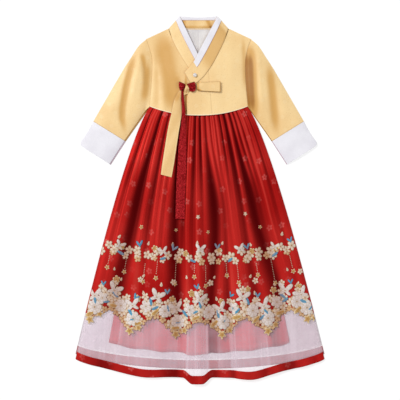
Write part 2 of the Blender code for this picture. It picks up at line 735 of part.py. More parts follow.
def make_skirt_front(garment):
    """The red cloth, its embroidered border, the sheer border and the hem band, all pleated alike."""
    waist = lambda u: 0.0
    hip = lambda u: (WAIST - HIP) / (WAIST - HEM_SIDE)
    border = lambda u: BORDER_TOP
    sheer = lambda u: scallop(u) + SEAM_STEP
    band = lambda u: HEM_BAND
    below_band = lambda u: HEM_BAND + SEAM_STEP
    hem = lambda u: 1.0
    over = GAP + STRIP_CLOTH
    skirt_front_piece(garment, "skirt_front", (waist, hip, border, scallop), (1, 6, 1), "red_satin", RED_SATIN)
    skirt_front_piece(garment, "border_embroidery", (border, scallop), (1,), "embroidery", EMBROIDERY, over)
    skirt_front_piece(garment, "sheer_front", (sheer, band), (2,), "organza", ORGANZA)
    skirt_front_piece(garment, "hem_band_front", (below_band, hem), (1,), "red_satin", RED_SATIN)


def make_skirt_back(garment):
    """The skirt's back in its three cloths, flat on the surface below the jacket."""

    def strip(start, end):
        def at(s, t):
            v = mix(start(s), end(s), 1 - t)
            x, y = skirt_back_plan(s, v)
            return x, y, FLAT_CLOTH + waist_lift(y)

        return at

    for name, start, end, columns, rows, finish, colour in (
        ("skirt_back", lambda u: 0.0, scallop, 20, 10, "red_satin", RED_SATIN),
        ("sheer_back", lambda u: scallop(u) + SEAM_STEP, lambda u: HEM_BAND, 20, 2, "organza", ORGANZA),
        ("hem_band_back", lambda u: HEM_BAND + SEAM_STEP, lambda u: 1.0, 20, 1, "red_satin", RED_SATIN),
    ):
        garment.panel(name, strip(start, end), columns, rows, FLAT_CLOTH, finish, colour)


def make_underskirt(garment):
    """The narrower red underskirt between the skirt's front and back, in two layers."""
    for level, name in ((1, "back"), (2, "front")):
        base = level * (FLAT_CLOTH + GAP) + FLAT_CLOTH + GAP

        def layer(s, t, base=base):
            x, y = underskirt_plan(s, 1 - t)
            return x, y, base + waist_lift(y)

        garment.panel(f"underskirt_{name}", layer, 8, 9, FLAT_CLOTH, "red_lining", RED_LINING)


def make_waistband(garment):
    """The band that the gathers are sewn to, hidden under the jacket, as a front and a back layer."""
    for name, top in (("back", 2 * FLAT_CLOTH + GAP), ("front", CREST[0] + FLAT_CLOTH)):
        low, half = WAIST + 2 * GAP, WAIST_HALF - 0.006

        def layer(s, t, top=top):
            x = mix(-half, half, s)
            drop = WAIST_SAG * (4 * s * (1 - s)) ** SAG_SHAPE
            edge = abs(2 * s - 1) ** 4
            height = top if top < CREST[0] else mix(top, 2 * (FLAT_CLOTH + GAP) + 2 * FLAT_CLOTH, edge)
            return x + JACKET_MIDDLE, low + t * WAISTBAND_HEIGHT - drop * (1 - t), height

        garment.panel(f"waistband_{name}", layer, 10, 1, FLAT_CLOTH, "white_lining", WHITE_LINING)


# ---- ties and button ------------------------------------------------------------------------
def skirt_place(x, y):
    """The u and v of the point of the skirt's front that lies at (x, y), by stepping towards it."""
    u, v = 0.5, (WAIST - y) / (WAIST - HEM_SIDE)
    for _ in range(6):
        px, py = skirt_plan(u, v)
        u += (x - px) / (2 * skirt_half(mix(WAIST, HEM_SIDE, v)))
        v += (py - y) / (WAIST - HEM_SIDE)
    return u, v


def top_of_all(x, y):
    """The highest cloth at a place: the jacket's fronts and collar, or the skirt below them."""
    across = x - JACKET_MIDDLE
    if y < jacket_hem(across) - 0.004:
        return skirt_height(*skirt_place(x, y))
    front = outer_height(across, y) if across > OVERLAP_EDGE - 0.004 else front_height(across, y)
    return front + (LOOSE + COLLAR_CLOTH) * ramp(0.284, 0.292, y)


def tie(centre, widths):
    """A ribbon that lies on whatever is below it: s along it, t across."""
    line = spline(centre)
    width = spline([(i / (len(widths) - 1), w) for i, w in enumerate(widths)])
    length = sum(math.dist(a, b) for a, b in zip(centre, centre[1:]))
    reach = TIE_REACH / length

    def plan(s, t):
        (ax, ay), (bx, by) = line(s - 0.01), line(s + 0.01)
        long = math.hypot(bx - ax, by - ay)
        x, y = line(s)
        across = (t - 0.5) * width(s)[1]
        return x - across * (by - ay) / long, y + across * (bx - ax) / long

    stations = 60
    highest = []
    for i in range(stations + 1):
        s = i / stations
        near = [s + reach * k / 4 for k in range(-4, 5)]
        highest.append(max(top_of_all(*plan(min(max(q, 0.0), 1.0), t / 4)) for q in near for t in range(5)))
    window = max(int(reach * stations), 1)

    def height(s):
        at = s * stations
        near = [highest[min(max(int(round(at)) + k, 0), stations)] for k in range(-window, window + 1)]
        return sum(near) / len(near)

    return plan, height


def make_ties(garment):
    """The two long tie ends, the gold loop and the red knot."""
    gold_plan, gold_height = tie(GOLD_TAIL, GOLD_TAIL_WIDTH)
    red_plan, red_height = tie(RED_TAIL, RED_TAIL_WIDTH)
    lie = GAP + RIBBON_CLOTH + 0.0008

    def gold(s, t):
        return (*gold_plan(s, t), gold_height(s) + lie)

    def red(s, t):
        return (*red_plan(s, t), red_height(s) + lie + (RIBBON_CLOTH + 2 * GAP) * (1 - ramp(0.30, 0.50, s)))

    garment.panel("tie_gold", gold, 22, 3, RIBBON_CLOTH, "gold_silk", GOLD_SILK)
    garment.panel("tie_red", red, 28, 3, RIBBON_CLOTH, "red_ribbon", RED_RIBBON)

    knot_floor = red(0.0, 0.5)[2] + 2 * GAP

    def knot(s, t):
        left, pinch, right = KNOT
        x = mix(left, right, s)
        side = (x - pinch) / ((right if x > pinch else left) - pinch)
        half = mix(KNOT_HALF[1], KNOT_HALF[2] if x > pinch else KNOT_HALF[0], side**0.8)
        across = 2 * t - 1
        lobe = 0.55 + 0.45 * math.sin(math.pi * side**0.8)
        rim = 1 - max(side, 0.0) ** 8 * 0.45
        dome = KNOT_DOME * lobe * rim * (1 - 0.8 * abs(across) ** 2.5)
        return x, KNOT_MIDDLE + across * half - 0.0012 * (x - pinch) / 0.02, knot_floor + 0.0010 + dome

    garment.panel(
        "tie_knot",
        knot,
        16,
        6,
        lambda s, t: knot(s, t)[2] - knot_floor,
        "red_ribbon",
        RED_RIBBON,
    )

    base = max(top_of_all(mix(LOOP[0][0], LOOP[1][0], q / 8), 0.293) for q in range(9)) + GAP + 0.0009
    garment.add("tie_loop", loop_mesh(base), "gold_silk", GOLD_SILK)


def loop_mesh(base):
    """The flat loop of the bow: a ribbon that goes out, turns over and comes back above itself."""
    turn = LOOP_SPREAD / 2
    straight_run = LOOP[1][0] - LOOP[0][0] - turn
    whole = 2 * straight_run + math.pi * turn
    mesh = bpy.data.meshes.new("tie_loop")
    ribbon = bmesh.new()
    bmesh.ops.create_grid(ribbon, x_segments=24, y_segments=2, size=0.5)
    for vertex in ribbon.verts:
        along, across = (vertex.co.x + 0.5) * whole, vertex.co.y
        if along < straight_run:
            out, up = along, 0.0
        elif along > whole - straight_run:
            out, up = whole - along, LOOP_SPREAD
        else:
            angle = (along - straight_run) / turn
            out, up = straight_run + turn * math.sin(angle), turn * (1 - math.cos(angle))
        share = out / straight_run
        x, y = LOOP[0][0] + out, mix(LOOP[0][1], LOOP[1][1], min(share, 1.0))
        width = mix(*LOOP_WIDTH, min(share, 1.0))
        vertex.co = (x, y + across * width, base + RIBBON_CLOTH / 2 + up)
    bmesh.ops.recalc_face_normals(ribbon, faces=ribbon.faces[:])
    bmesh.ops.solidify(ribbon, geom=ribbon.faces[:], thickness=RIBBON_CLOTH)
    bmesh.ops.recalc_face_normals(ribbon, faces=ribbon.faces[:])
    ribbon.to_mesh(mesh)
    ribbon.free()
    return mesh


def make_button(garment):
    """The pearl button on the collar's end."""
    mesh = bpy.data.meshes.new("button")
    pearl = bmesh.new()
    bmesh.ops.create_uvsphere(pearl, u_segments=16, v_segments=8, radius=BUTTON_RADIUS)
    bmesh.ops.scale(pearl, vec=(1, 1, BUTTON_HALF_HEIGHT / BUTTON_RADIUS), verts=pearl.verts[:])
    pearl.to_mesh(mesh)
    pearl.free()
    button = garment.add("button", mesh, "pearl", PEARL)
    x, y = BUTTON
    seat = max(outer_collar_height(x + dx, y + dy) for dx in (-0.004, 0.004) for dy in (-0.004, 0.004))
    button.location = (x + JACKET_MIDDLE, y, seat + GAP + BUTTON_HALF_HEIGHT)


def main():
    """Builds every piece, from the lowest layer up."""
    clear_scene()
    garment = Garment("hanbok")
    make_back(garment)
    make_skirt_back(garment)
    make_underskirt(garment)
    make_waistband(garment)
    make_skirt_front(garment)
    make_fronts(garment)
    make_sleeves(garment)
    make_collar(garment)
    make_ties(garment)
    make_button(garment)


main()
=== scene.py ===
"""The looks of a girl's hanbok laid flat: a gold silk jacket over a gathered red satin skirt.

Metres, +Z up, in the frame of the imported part. Every cloth is a grid bent to its outline and to
the height at which it lies, so that each layer rests on the one below it.
"""

import logging
import math
from collections.abc import Callable, Iterable, Sequence
from dataclasses import dataclass, field
from enum import Enum

import bmesh
import bpy
import numpy as np
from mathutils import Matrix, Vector

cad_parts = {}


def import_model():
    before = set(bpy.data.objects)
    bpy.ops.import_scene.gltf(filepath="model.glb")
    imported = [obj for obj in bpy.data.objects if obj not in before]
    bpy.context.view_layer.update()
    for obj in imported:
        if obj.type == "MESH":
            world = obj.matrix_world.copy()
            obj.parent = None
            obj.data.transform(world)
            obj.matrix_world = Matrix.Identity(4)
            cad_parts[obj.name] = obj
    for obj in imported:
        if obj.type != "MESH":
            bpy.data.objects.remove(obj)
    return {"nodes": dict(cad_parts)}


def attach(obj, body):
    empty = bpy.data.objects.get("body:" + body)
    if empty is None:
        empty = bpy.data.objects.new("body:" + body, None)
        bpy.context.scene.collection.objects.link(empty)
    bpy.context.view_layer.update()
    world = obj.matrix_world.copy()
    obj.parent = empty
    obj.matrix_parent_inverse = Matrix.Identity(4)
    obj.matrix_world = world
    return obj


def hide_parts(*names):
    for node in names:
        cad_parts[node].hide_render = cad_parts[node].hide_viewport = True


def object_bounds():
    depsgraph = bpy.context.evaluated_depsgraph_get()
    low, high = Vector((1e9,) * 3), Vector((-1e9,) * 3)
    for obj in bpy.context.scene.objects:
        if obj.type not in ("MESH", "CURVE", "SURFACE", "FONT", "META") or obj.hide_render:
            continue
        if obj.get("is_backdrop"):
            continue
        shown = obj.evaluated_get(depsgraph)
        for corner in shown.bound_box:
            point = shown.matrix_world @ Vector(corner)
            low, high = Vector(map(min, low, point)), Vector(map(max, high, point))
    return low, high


LOG = logging.getLogger("hanbok")

Array = np.ndarray
Pair = tuple[float, float]
Three = tuple[float, float, float]
Track = tuple[Pair, ...]
Grid = tuple[int, int]
Line = Callable[[Array], Array]
Plan = Callable[[Array, Array], Array]
Height = Callable[[Array, Array], Array]
Points = tuple[Array, Array, Array]
Place = Callable[[Array, Array], Points]
Socket = bpy.types.NodeSocket

BODY = "root"
SURFACE = ("the surface",)
FOLD_SHADE = "fold"  # the attribute that says how deep in a fold a point lies; the finishes darken by it, as painted shade
SEAM = "seam"  # the one that says how near to a seam a point lies; along the lower layers' low edges this is painted shade

GAP = 0.0003
LOOSE = 0.0008
BACK_CLOTH = 0.001
COLLAR_CLOTH = 0.0014
STRIP_CLOTH = 0.001
RIBBON_CLOTH = 0.001
JACKET_CLOTH = 0.0011
SATIN_CLOTH = 0.0008
SHEER_CLOTH = 0.0004
LOWER_CLOTH = 0.0009  # the cloths that lie on the surface
THIN_CLOTH = 0.0008
LINING_CLOTH = 0.0007
EDGE_ANGLE = math.radians(60)  # edges at least as sharp are rounded


class Held(Enum):
    LAID = "laid"
    GATHERED = "gathered"
    FOLDED = "folded"


class Slot(Enum):
    """The material slots."""

    GOLD = "gold_silk"
    COTTON = "white_cotton"
    LINING = "white_lining"
    SATIN = "red_satin"
    RIBBON = "red_ribbon"
    ORGANZA = "organza"
    EMBROIDERY = "embroidery"
    UNDERSKIRT = "red_lining"
    PEARL = "pearl"


# ---- small mathematics
def mix(a: Array, b: Array, share: Array) -> Array:
    """The value that lies that share of the way from a to b."""
    return a + (b - a) * share


def ramp(start: float, end: float, x: Array) -> Array:
    """0 before start, 1 after end, and a smooth rise between them."""
    share = np.clip((x - start) / (end - start), 0.0, 1.0)
    return share * share * (3 - 2 * share)


def bell(away: Array, reach: float) -> Array:
    """1 in the middle and less and less away from it: about a third at that reach."""
    return np.exp(-((away / reach) ** 2))


def plateau(start: float, end: float, edge: float, x: Array) -> Array:
    """1 between start and end and 0 outside them, with a smooth step on each."""
    return ramp(start - edge, start + edge, x) * (1 - ramp(end - edge, end + edge, x))


def mirrored(points: Sequence[Pair]) -> list[Pair]:
    """The same points on the other side of the garment."""
    return [(-x, y) for x, y in points]


def straight(a: Sequence[float], b: Sequence[float]) -> Line:
    """The straight line from a to b, as a function of the share of its length."""
    return lambda share: np.outer(1 - share, a) + np.outer(share, b)


def smooth_line(points: Sequence[Sequence[float]]) -> Line:
    """A smooth line through points.

    Args:
        points: where it passes, in order.

    Returns:
        The line's points as a function of the share of its length.
    """
    knots_at = np.array(points, float)
    knots = np.concatenate(([0.0], np.cumsum(np.linalg.norm(np.diff(knots_at, axis=0), axis=1))))
    order = np.arange(len(knots))
    before, after = np.maximum(order - 1, 0), np.minimum(order + 1, len(knots) - 1)
    slopes = (knots_at[after] - knots_at[before]) / (knots[after] - knots[before])[:, None]

    def at(share: Array) -> Array:
        """The points at those shares."""
        along = np.clip(share, 0.0, 1.0) * knots[-1]
        i = np.clip(np.searchsorted(knots, along, side="right") - 1, 0, len(knots) - 2)
        span = (knots[i + 1] - knots[i])[:, None]
        q = (along - knots[i])[:, None] / span
        return (
            (2 * q**3 - 3 * q**2 + 1) * knots_at[i]
            + (q**3 - 2 * q**2 + q) * span * slopes[i]
            + (3 * q**2 - 2 * q**3) * knots_at[i + 1]
            + (q**3 - q**2) * span * slopes[i + 1]
        )

    return at


def chain(first: Line, second: Line, share: float) -> Line:
    """Two lines end to end: the first takes that share of the whole."""
    return lambda s: np.where((s < share)[:, None], first(s / share), second((s - share) / (1 - share)))


def patch(bottom: Line, top: Line, left: Line, right: Line) -> Plan:
    """The inside of a four-sided outline.

    Args:
        bottom: the lower side, from left to right.
        top: the upper side, from left to right.
        left: the left side, upwards.
        right: the right side, upwards.

    Returns:
        The points inside as a function of the shares across and up.
    """
    ends = np.array([0.0, 1.0])
    low, high = bottom(ends), top(ends)

    def at(s: Array, t: Array) -> Array:
        """The points at those shares."""
        across, up = s[:, None], t[:, None]
        left_end, right_end = ((1 - up) * low[k] + up * high[k] for k in (0, 1))
        corners = (1 - across) * left_end + across * right_end
        return mix(bottom(s), top(s), up) + mix(left(t), right(t), across) - corners

    return at


def trapezium(low: Pair, high: Pair) -> Plan:
    """A straight-sided piece from its two right corners, its left side their mirror image."""
    low_left, high_left = mirrored([low, high])
    return patch(
        straight(low_left, low), straight(high_left, high), straight(low_left, high_left), straight(low, high)
    )


def distance_to(points: Sequence[Pair], x: Array, y: Array) -> tuple[Array, Array]:
    """How far places are from a line of straight runs, and how far along it they are, from 0 to 1."""
    nearest, along, run = np.full_like(x, np.inf), np.zeros_like(x), 0.0
    whole = sum(math.dist(a, b) for a, b in zip(points, points[1:]))
    for (ax, ay), (bx, by) in zip(points, points[1:]):
        dx, dy = bx - ax, by - ay
        share = np.clip(((x - ax) * dx + (y - ay) * dy) / (dx * dx + dy * dy), 0.0, 1.0)
        away = np.hypot(x - ax - share * dx, y - ay - share * dy)
        along = np.where(away < nearest, (run + share * math.hypot(dx, dy)) / whole, along)
        nearest, run = np.minimum(nearest, away), run + math.hypot(dx, dy)
    return nearest, along


def linear(code: str) -> tuple[float, float, float, float]:
    """A screen colour such as "#aa2211" as the renderer's linear colour."""
    parts = [int(code[i : i + 2], 16) / 255 for i in (1, 3, 5)]
    made = [p / 12.92 if p <= 0.04045 else ((p + 0.055) / 1.055) ** 2.4 for p in parts]
    return (made[0], made[1], made[2], 1.0)


# ---- finishes
class Board:
    """The nodes of one finish, with short ways to add to them and the tone that it has so far."""

    def __init__(self, name: str) -> None:
        """Starts a material of that name with a Principled shader."""
        self.material = bpy.data.materials.new(name)
        self.material.use_nodes = True
        self.tree = self.material.node_tree
        self.shader = self.tree.nodes["Principled BSDF"]
        self.tone: object = None

    def feed(self, socket: Socket, value: object) -> None:
        """Links value to a socket if it is one, and otherwise sets it there."""
        if isinstance(value, bpy.types.NodeSocket):
            self.tree.links.new(value, socket)
        else:
            socket.default_value = linear(value) if isinstance(value, str) else value

    def node(self, kind: str, setting: dict[str, str], *values: object, **named: object) -> Sequence[Socket]:
        """Adds a node.

        Args:
            kind: its type, without the first word.
            setting: its properties.
            values: what its inputs are fed, in order.
            named: what its inputs of those names are fed.

        Returns:
            Its outputs.
        """
        made = self.tree.nodes.new(f"ShaderNode{kind}")
        for name, value in setting.items():
            setattr(made, name, value)
        for socket, value in [*zip(made.inputs, values), *((made.inputs[k], v) for k, v in named.items())]:
            self.feed(socket, value)
        return made.outputs

    def set(self, **values: object) -> None:
        """Feeds sockets of the shader, each named in lower case with low lines for its spaces."""
        names = {s.name.lower().replace(" ", "_"): s for s in self.shader.inputs}
        for name, value in values.items():
            self.feed(names[name], value)

    def math(self, operation: str, *values: object) -> Socket:
        """A Math node of that operation."""
        return self.node("Math", {"operation": operation}, *values)[0]

    def times(self, *values: object) -> Socket:
        """The product of two values."""
        return self.math("MULTIPLY", *values)

    def plus(self, *values: object) -> Socket:
        """The sum of two values."""
        return self.math("ADD", *values)

    def vector(self, operation: str, *values: object) -> Socket:
        """A Vector Math node of that operation."""
        made = self.node("VectorMath", {"operation": operation}, *values)
        return made["Value" if operation in ("LENGTH", "DOT_PRODUCT") else "Vector"]

    def flat(self, stretch: Pair = (1.0, 1.0)) -> Socket:
        """The cloth's own flat coordinates in metres, times a stretch each way."""
        return self.vector("MULTIPLY", self.node("UVMap", {"uv_map": "UVMap"})[0], (*stretch, 1.0))

    def attribute(self, name: str) -> Socket:
        """A number that the mesh carries at its points."""
        return self.node("Attribute", {"attribute_name": name})["Fac"]

    def noise(self, where: Socket, scale: float, detail: float = 2.0, rough: float = 0.5) -> Socket:
        """Soft noise, about 0.5 on average."""
        fed = {"Vector": where, "Scale": scale, "Detail": detail, "Roughness": rough}
        return self.node("TexNoise", {"noise_dimensions": "2D"}, **fed)["Fac"]

    def waves(self, where: Socket, scale: float, direction: str) -> Socket:
        """Sine waves across X or Y, from 0 to 1."""
        return self.node("TexWave", {"bands_direction": direction}, Vector=where, Scale=scale)["Fac"]

    def between(self, value: Socket, low: float, high: float, to: Pair = (0.0, 1.0)) -> Socket:
        """A smooth step of value from low to high, mapped to the two numbers in to."""
        return self.node("MapRange", {"interpolation_type": "SMOOTHSTEP"}, value, low, high, *to)[0]

    def blend(self, share: object, a: object, b: object) -> Socket:
        """A blend of two colours."""
        made = self.tree.nodes.new("ShaderNodeMix")
        made.data_type = "RGBA"
        for index, value in ((0, share), (6, a), (7, b)):
            self.feed(made.inputs[index], value)
        return made.outputs[2]

    def wash(
        self, colour: object, value: Socket, low: float, high: float, to: Pair = (0.0, 1.0)
    ) -> None:
        """Lays a colour over the tone by a smooth step of value."""
        self.tone = self.blend(self.between(value, low, high, to), self.tone, colour)

    def stain(self, colour: object, value: Socket, share: object) -> None:
        """Lays a colour over the tone by a share of value."""
        self.tone = self.blend(self.times(value, share), self.tone, colour)

    def bump(self, height: Socket, strength: float, distance: float = 0.0002) -> None:
        """Lays a relief on the shader's normal."""
        made = self.node("Bump", {}, Strength=strength, Distance=distance, Height=height)
        self.set(normal=made[0])

    def weave(self, pitch: float) -> Socket:
        """Threads over and under each other: two sets of waves multiplied, from 0 to 1."""
        return self.times(*(self.waves(self.flat(), math.tau / 20 / pitch, way) for way in "XY"))

    def blossoms(self, where: Socket, spacing: float, size: float) -> Socket:
        """Woven blossoms of five petals scattered over the cloth.

        Args:
            where: the cloth's coordinates.
            spacing: the distance between blossoms, in metres.
            size: a blossom's radius.

        Returns:
            1 on the petals, 0 elsewhere.
        """
        cells = self.node(
            "TexVoronoi", {"voronoi_dimensions": "2D"}, Vector=where, Scale=1 / spacing, Randomness=0.7
        )
        local = self.vector("SUBTRACT", where, cells["Position"])
        split = self.node("SeparateXYZ", {}, local)
        turn = self.vector("DOT_PRODUCT", cells["Color"], (3.0, 2.0, 0.0))
        angle = self.plus(self.math("ARCTAN2", split["Y"], split["X"]), turn)
        lobe = self.math("ABSOLUTE", self.math("COSINE", self.times(angle, 2.5)))
        rim = self.times(self.plus(self.times(lobe, 0.45), 0.55), size)
        out = self.math("DIVIDE", self.vector("LENGTH", local), rim)
        whole = self.between(out, 0.86, 1.0, (1.0, 0.0))
        eye = self.between(self.vector("LENGTH", local), 0.14 * size, 0.24 * size)
        return self.times(whole, self.times(eye, self.between(lobe, 0.08, 0.28)))


class Finish:
    """What the finishes share: a name, and a board that each paints in its own way."""

    name: str

    def material(self) -> bpy.types.Material:
        """Builds the material."""
        board = Board(self.name)
        self.paint(board)
        return board.material


@dataclass(frozen=True)
class GoldSilk(Finish):
    """Gold silk with a fine damask of tone-on-tone blossoms."""

    name: str = "gold_silk"
    light: str = "#f9d89e"
    deep: str = "#efc98d"
    # shade and fold: painted shade in the creases, soft and deep
    shade: str = "#d5a257"
    fold: str = "#9d6417"
    speck: str = "#ad8248"
    petal: str = "#fbe3b4"
    # seam: along the seams, and painted shade on the lower sleeve's strip
    seam: str = "#94682e"
    hem: str = "#fff0cf"

    def paint(self, board: Board) -> None:
        """Lays clouds, slubs, blossoms and specks over the light tone, then painted shade in the folds, then
        the seams and the hem.
        """
        flat = board.flat()
        clouds = board.noise(flat, 9.0)
        slubs = board.noise(board.flat((60.0, 900.0)), 1.0, 3.0, 0.6)
        board.tone = self.light
        board.wash(self.deep, clouds, 0.3, 0.72)
        board.wash(self.deep, slubs, 0.35, 0.75, (0.0, 0.22))
        petals = board.blossoms(flat, 0.03, 0.0062)
        board.stain(self.petal, petals, 0.22)
        specks = board.noise(flat, 420.0, 1.0)
        board.wash(self.speck, specks, 0.66, 0.8, (0.0, 0.34))
        board.wash(self.shade, board.attribute(FOLD_SHADE), 0.0, 0.55, (0.0, 0.95))
        board.wash(self.fold, board.attribute(FOLD_SHADE), 0.55, 1.0, (0.0, 0.9))
        board.stain(self.seam, board.attribute(SEAM), 0.45)
        board.wash(self.hem, board.attribute(SEAM), -0.85, -0.25, (0.85, 0.0))
        relief = board.plus(board.weave(0.0007), board.times(petals, 0.8))
        board.bump(board.plus(relief, board.times(slubs, 0.7)), 0.35)
        rough = board.plus(board.times(slubs, 0.16), 0.4)
        board.set(base_color=board.tone, roughness=board.math("SUBTRACT", rough, board.times(petals, 0.08)))
        board.set(sheen_weight=0.15, sheen_roughness=0.4, sheen_tint="#ffe2ae", specular_ior_level=0.35)


@dataclass(frozen=True)
class WhiteCotton(Finish):
    """Plain white cloth with a fine weave."""

    name: str = "white_cotton"
    light: str = "#eceaf0"
    deep: str = "#e0dde5"
    pitch: float = 0.0008
    rough: float = 0.75
    # seam: along the seams, and painted shade on the lower cuff's strip; fold: painted shade in the folds
    seam: str = "#b47e92"
    fold: str = "#b3abba"

    def paint(self, board: Board) -> None:
        """Lays clouds and threads over the light tone, then the seams and the painted shade in the folds."""
        clouds = board.noise(board.flat(), 22.0)
        threads = board.noise(board.flat((1400.0, 90.0)), 1.0, 2.0, 0.6)
        board.tone = self.light
        board.wash(self.deep, clouds, 0.3, 0.75, (0.0, 0.6))
        board.wash(self.deep, threads, 0.5, 0.85, (0.0, 0.35))
        board.stain(self.seam, board.attribute(SEAM), 0.75)
        board.stain(self.fold, board.attribute(FOLD_SHADE), 0.5)
        board.bump(board.plus(board.weave(self.pitch), board.times(threads, 0.6)), 0.35)
        rough = board.between(threads, 0.2, 0.8, (self.rough, self.rough + 0.1))
        board.set(base_color=board.tone, roughness=rough, sheen_weight=0.15, sheen_roughness=0.5)


@dataclass(frozen=True)
class RedSatin(Finish):
    """Glossy red satin with small tone-on-tone blossoms, with painted shade down in its folds and a painted
    highlight on its crests.
    """

    name: str = "red_satin"
    light: str = "#c12824"
    deep: str = "#ab1715"
    # fold: painted shade down in the folds; crest: painted highlight on the crests
    fold: str = "#480104"
    petal: str = "#e0706a"
    crest: str = "#d8483e"
    metal: float = 0.14
    rough: float = 0.38

    def paint(self, board: Board) -> None:
        """Lays clouds, streaks and blossoms over the light tone, then a painted highlight on the crests and
        painted shade in the folds.
        """
        flat = board.flat()
        streaks = board.noise(board.flat((1500.0, 60.0)), 1.0, 3.0, 0.6)
        clouds = board.noise(flat, 7.0)
        board.tone = self.light
        board.wash(self.deep, clouds, 0.3, 0.72)
        board.wash(self.deep, streaks, 0.4, 0.8, (0.0, 0.22))
        petals = board.blossoms(flat, 0.052, 0.0088)
        faint = board.between(board.noise(flat, 19.0, 1.0), 0.35, 0.65, (0.06, 0.46))
        board.stain(self.petal, petals, faint)
        depth = board.attribute(FOLD_SHADE)
        # painted highlight where the fold number is low, painted shade where it is high
        board.wash(self.crest, depth, 0.0, 0.16, (0.4, 0.0))
        board.wash(self.fold, depth, 0.06, 0.93)
        board.bump(board.plus(board.times(streaks, 0.5), board.times(petals, 0.5)), 0.2)
        rough = board.plus(board.times(streaks, 0.12), self.rough - 0.06)
        board.set(base_color=board.tone, roughness=board.plus(rough, board.times(petals, 0.12)))
        board.set(metallic=self.metal, specular_ior_level=0.2, specular_tint="#ff5a4c")


@dataclass(frozen=True)
class RedRibbon(Finish):
    """Dark red ribbon with a woven scroll that shines against it."""

    name: str = "red_ribbon"
    light: str = "#b4232a"
    deep: str = "#820c12"
    # fold: painted shade in the folds
    fold: str = "#3a0206"

    def paint(self, board: Board) -> None:
        """Lays the scroll over the deep tone, then painted shade in the folds."""
        rings = board.math("SINE", board.times(board.noise(board.flat(), 60.0, 1.0), 46.0))
        scroll = board.between(rings, 0.15, 0.55)
        board.tone = board.blend(scroll, self.deep, self.light)
        board.stain(self.fold, board.attribute(FOLD_SHADE), 0.7)
        board.bump(board.plus(scroll, board.weave(0.0006)), 0.4)
        board.set(base_color=board.tone, roughness=board.between(scroll, 0.0, 1.0, (0.55, 0.36)))
        board.set(metallic=0.15, specular_ior_level=0.25, specular_tint="#ff8a7c")


@dataclass(frozen=True)
class Lining(Finish):
    """Thin dyed silk with fine crosswise slubs, for the underskirt."""

    name: str = "red_lining"
    light: str = "#d0303a"
    deep: str = "#b8242e"
    slub: str = "#8f2430"
    # fold: painted shade in the folds
    fold: str = "#640f1c"

    def paint(self, board: Board) -> None:
        """Lays clouds and slubs over the light tone, then painted shade in the folds."""
        slubs = board.noise(board.flat((25.0, 700.0)), 1.0, 3.0, 0.65)
        clouds = board.noise(board.flat((14.0, 3.0)), 1.0)
        board.tone = self.light
        board.wash(self.deep, clouds, 0.3, 0.7)
        board.wash(self.slub, slubs, 0.45, 0.8, (0.0, 0.5))
        board.stain(self.fold, board.attribute(FOLD_SHADE), 0.9)
        board.bump(slubs, 0.35, 0.0003)
        rough = board.between(slubs, 0.2, 0.8, (0.5, 0.66))
        board.set(base_color=board.tone, roughness=rough, sheen_weight=0.2, sheen_roughness=0.4)


@dataclass(frozen=True)
class Organza(Finish):
    """Crisp sheer cloth: a fine open mesh of white threads."""

    name: str = "organza"
    light: str = "#e6d9e3"
    deep: str = "#dacdd7"
    # fold: painted shade in the folds
    fold: str = "#9a6d78"
    cover: float = 0.25

    def paint(self, board: Board) -> None:
        """Makes it closer where threads, folds and seams are, and rosier with painted shade down in the
        folds.
        """
        flat = board.flat()
        long_way = board.noise(board.flat((420.0, 4.0)), 1.0, 2.0, 0.6)
        cross_way = board.noise(board.flat((4.0, 420.0)), 1.0, 2.0, 0.6)
        mesh = board.between(board.math("MAXIMUM", long_way, cross_way), 0.5, 0.78, (-0.01, 0.02))
        clouds = board.between(board.noise(flat, 16.0), 0.3, 0.7, (-0.03, 0.03))
        cover = board.plus(board.plus(mesh, clouds), self.cover)
        cover = board.plus(cover, board.times(board.attribute(FOLD_SHADE), 0.08))
        cover = board.plus(cover, board.times(board.attribute(SEAM), 0.16))
        board.tone = board.blend(board.between(long_way, 0.4, 0.7), self.deep, self.light)
        board.stain(self.fold, board.attribute(FOLD_SHADE), 0.55)
        board.bump(board.weave(0.0009), 0.3)
        rough = board.between(long_way, 0.3, 0.7, (0.42, 0.56))
        board.set(base_color=board.tone, alpha=cover, roughness=rough)
        board.set(sheen_weight=0.15, sheen_roughness=0.4)


@dataclass(frozen=True)
class Thread(Finish):
    """Satin-stitch embroidery: its threads run out from the middle of each motif."""

    name: str
    fill: str
    shade: str
    rim: str
    middle: str
    rim_from: float = 0.88
    petals: float = 5.0
    rings: float = 0.0
    # fold: painted shade where the motif lies down in a skirt fold
    fold: str = "#80401f"

    def paint(self, board: Board) -> None:
        """Lays the fill, the strands, the gaps between petals, the rim and the middle in turn, then painted
        shade where it lies in a skirt fold.
        """
        split = board.node("SeparateXYZ", {}, board.flat())
        out, turn = split["X"], split["Y"]
        strands = board.math("SINE", board.times(turn, 52.0 * math.tau))
        strands = board.plus(board.times(strands, 0.5), 0.5)
        board.tone = self.shade
        board.wash(self.fill, out, 0.1, 0.55)
        board.stain(self.shade, strands, 0.15)
        petal = board.math("ABSOLUTE", board.math("COSINE", board.times(turn, self.petals * math.pi)))
        board.wash(self.rim, petal, 0.1, 0.32, (0.65, 0.0))
        if self.rings:
            ring = board.math("ABSOLUTE", board.math("SINE", board.times(out, self.rings * math.pi)))
            board.wash(self.rim, ring, 0.1, 0.4, (0.55, 0.0))
        board.wash(self.rim, out, self.rim_from, self.rim_from + 0.06)
        board.wash(self.middle, out, 0.1, 0.17, (1.0, 0.0))
        board.stain(self.fold, board.attribute(FOLD_SHADE), 0.72)
        board.bump(strands, 0.4)
        board.set(base_color=board.tone, roughness=board.between(strands, 0.0, 1.0, (0.5, 0.66)))
        board.set(sheen_weight=0.2, sheen_roughness=0.35, specular_ior_level=0.3)


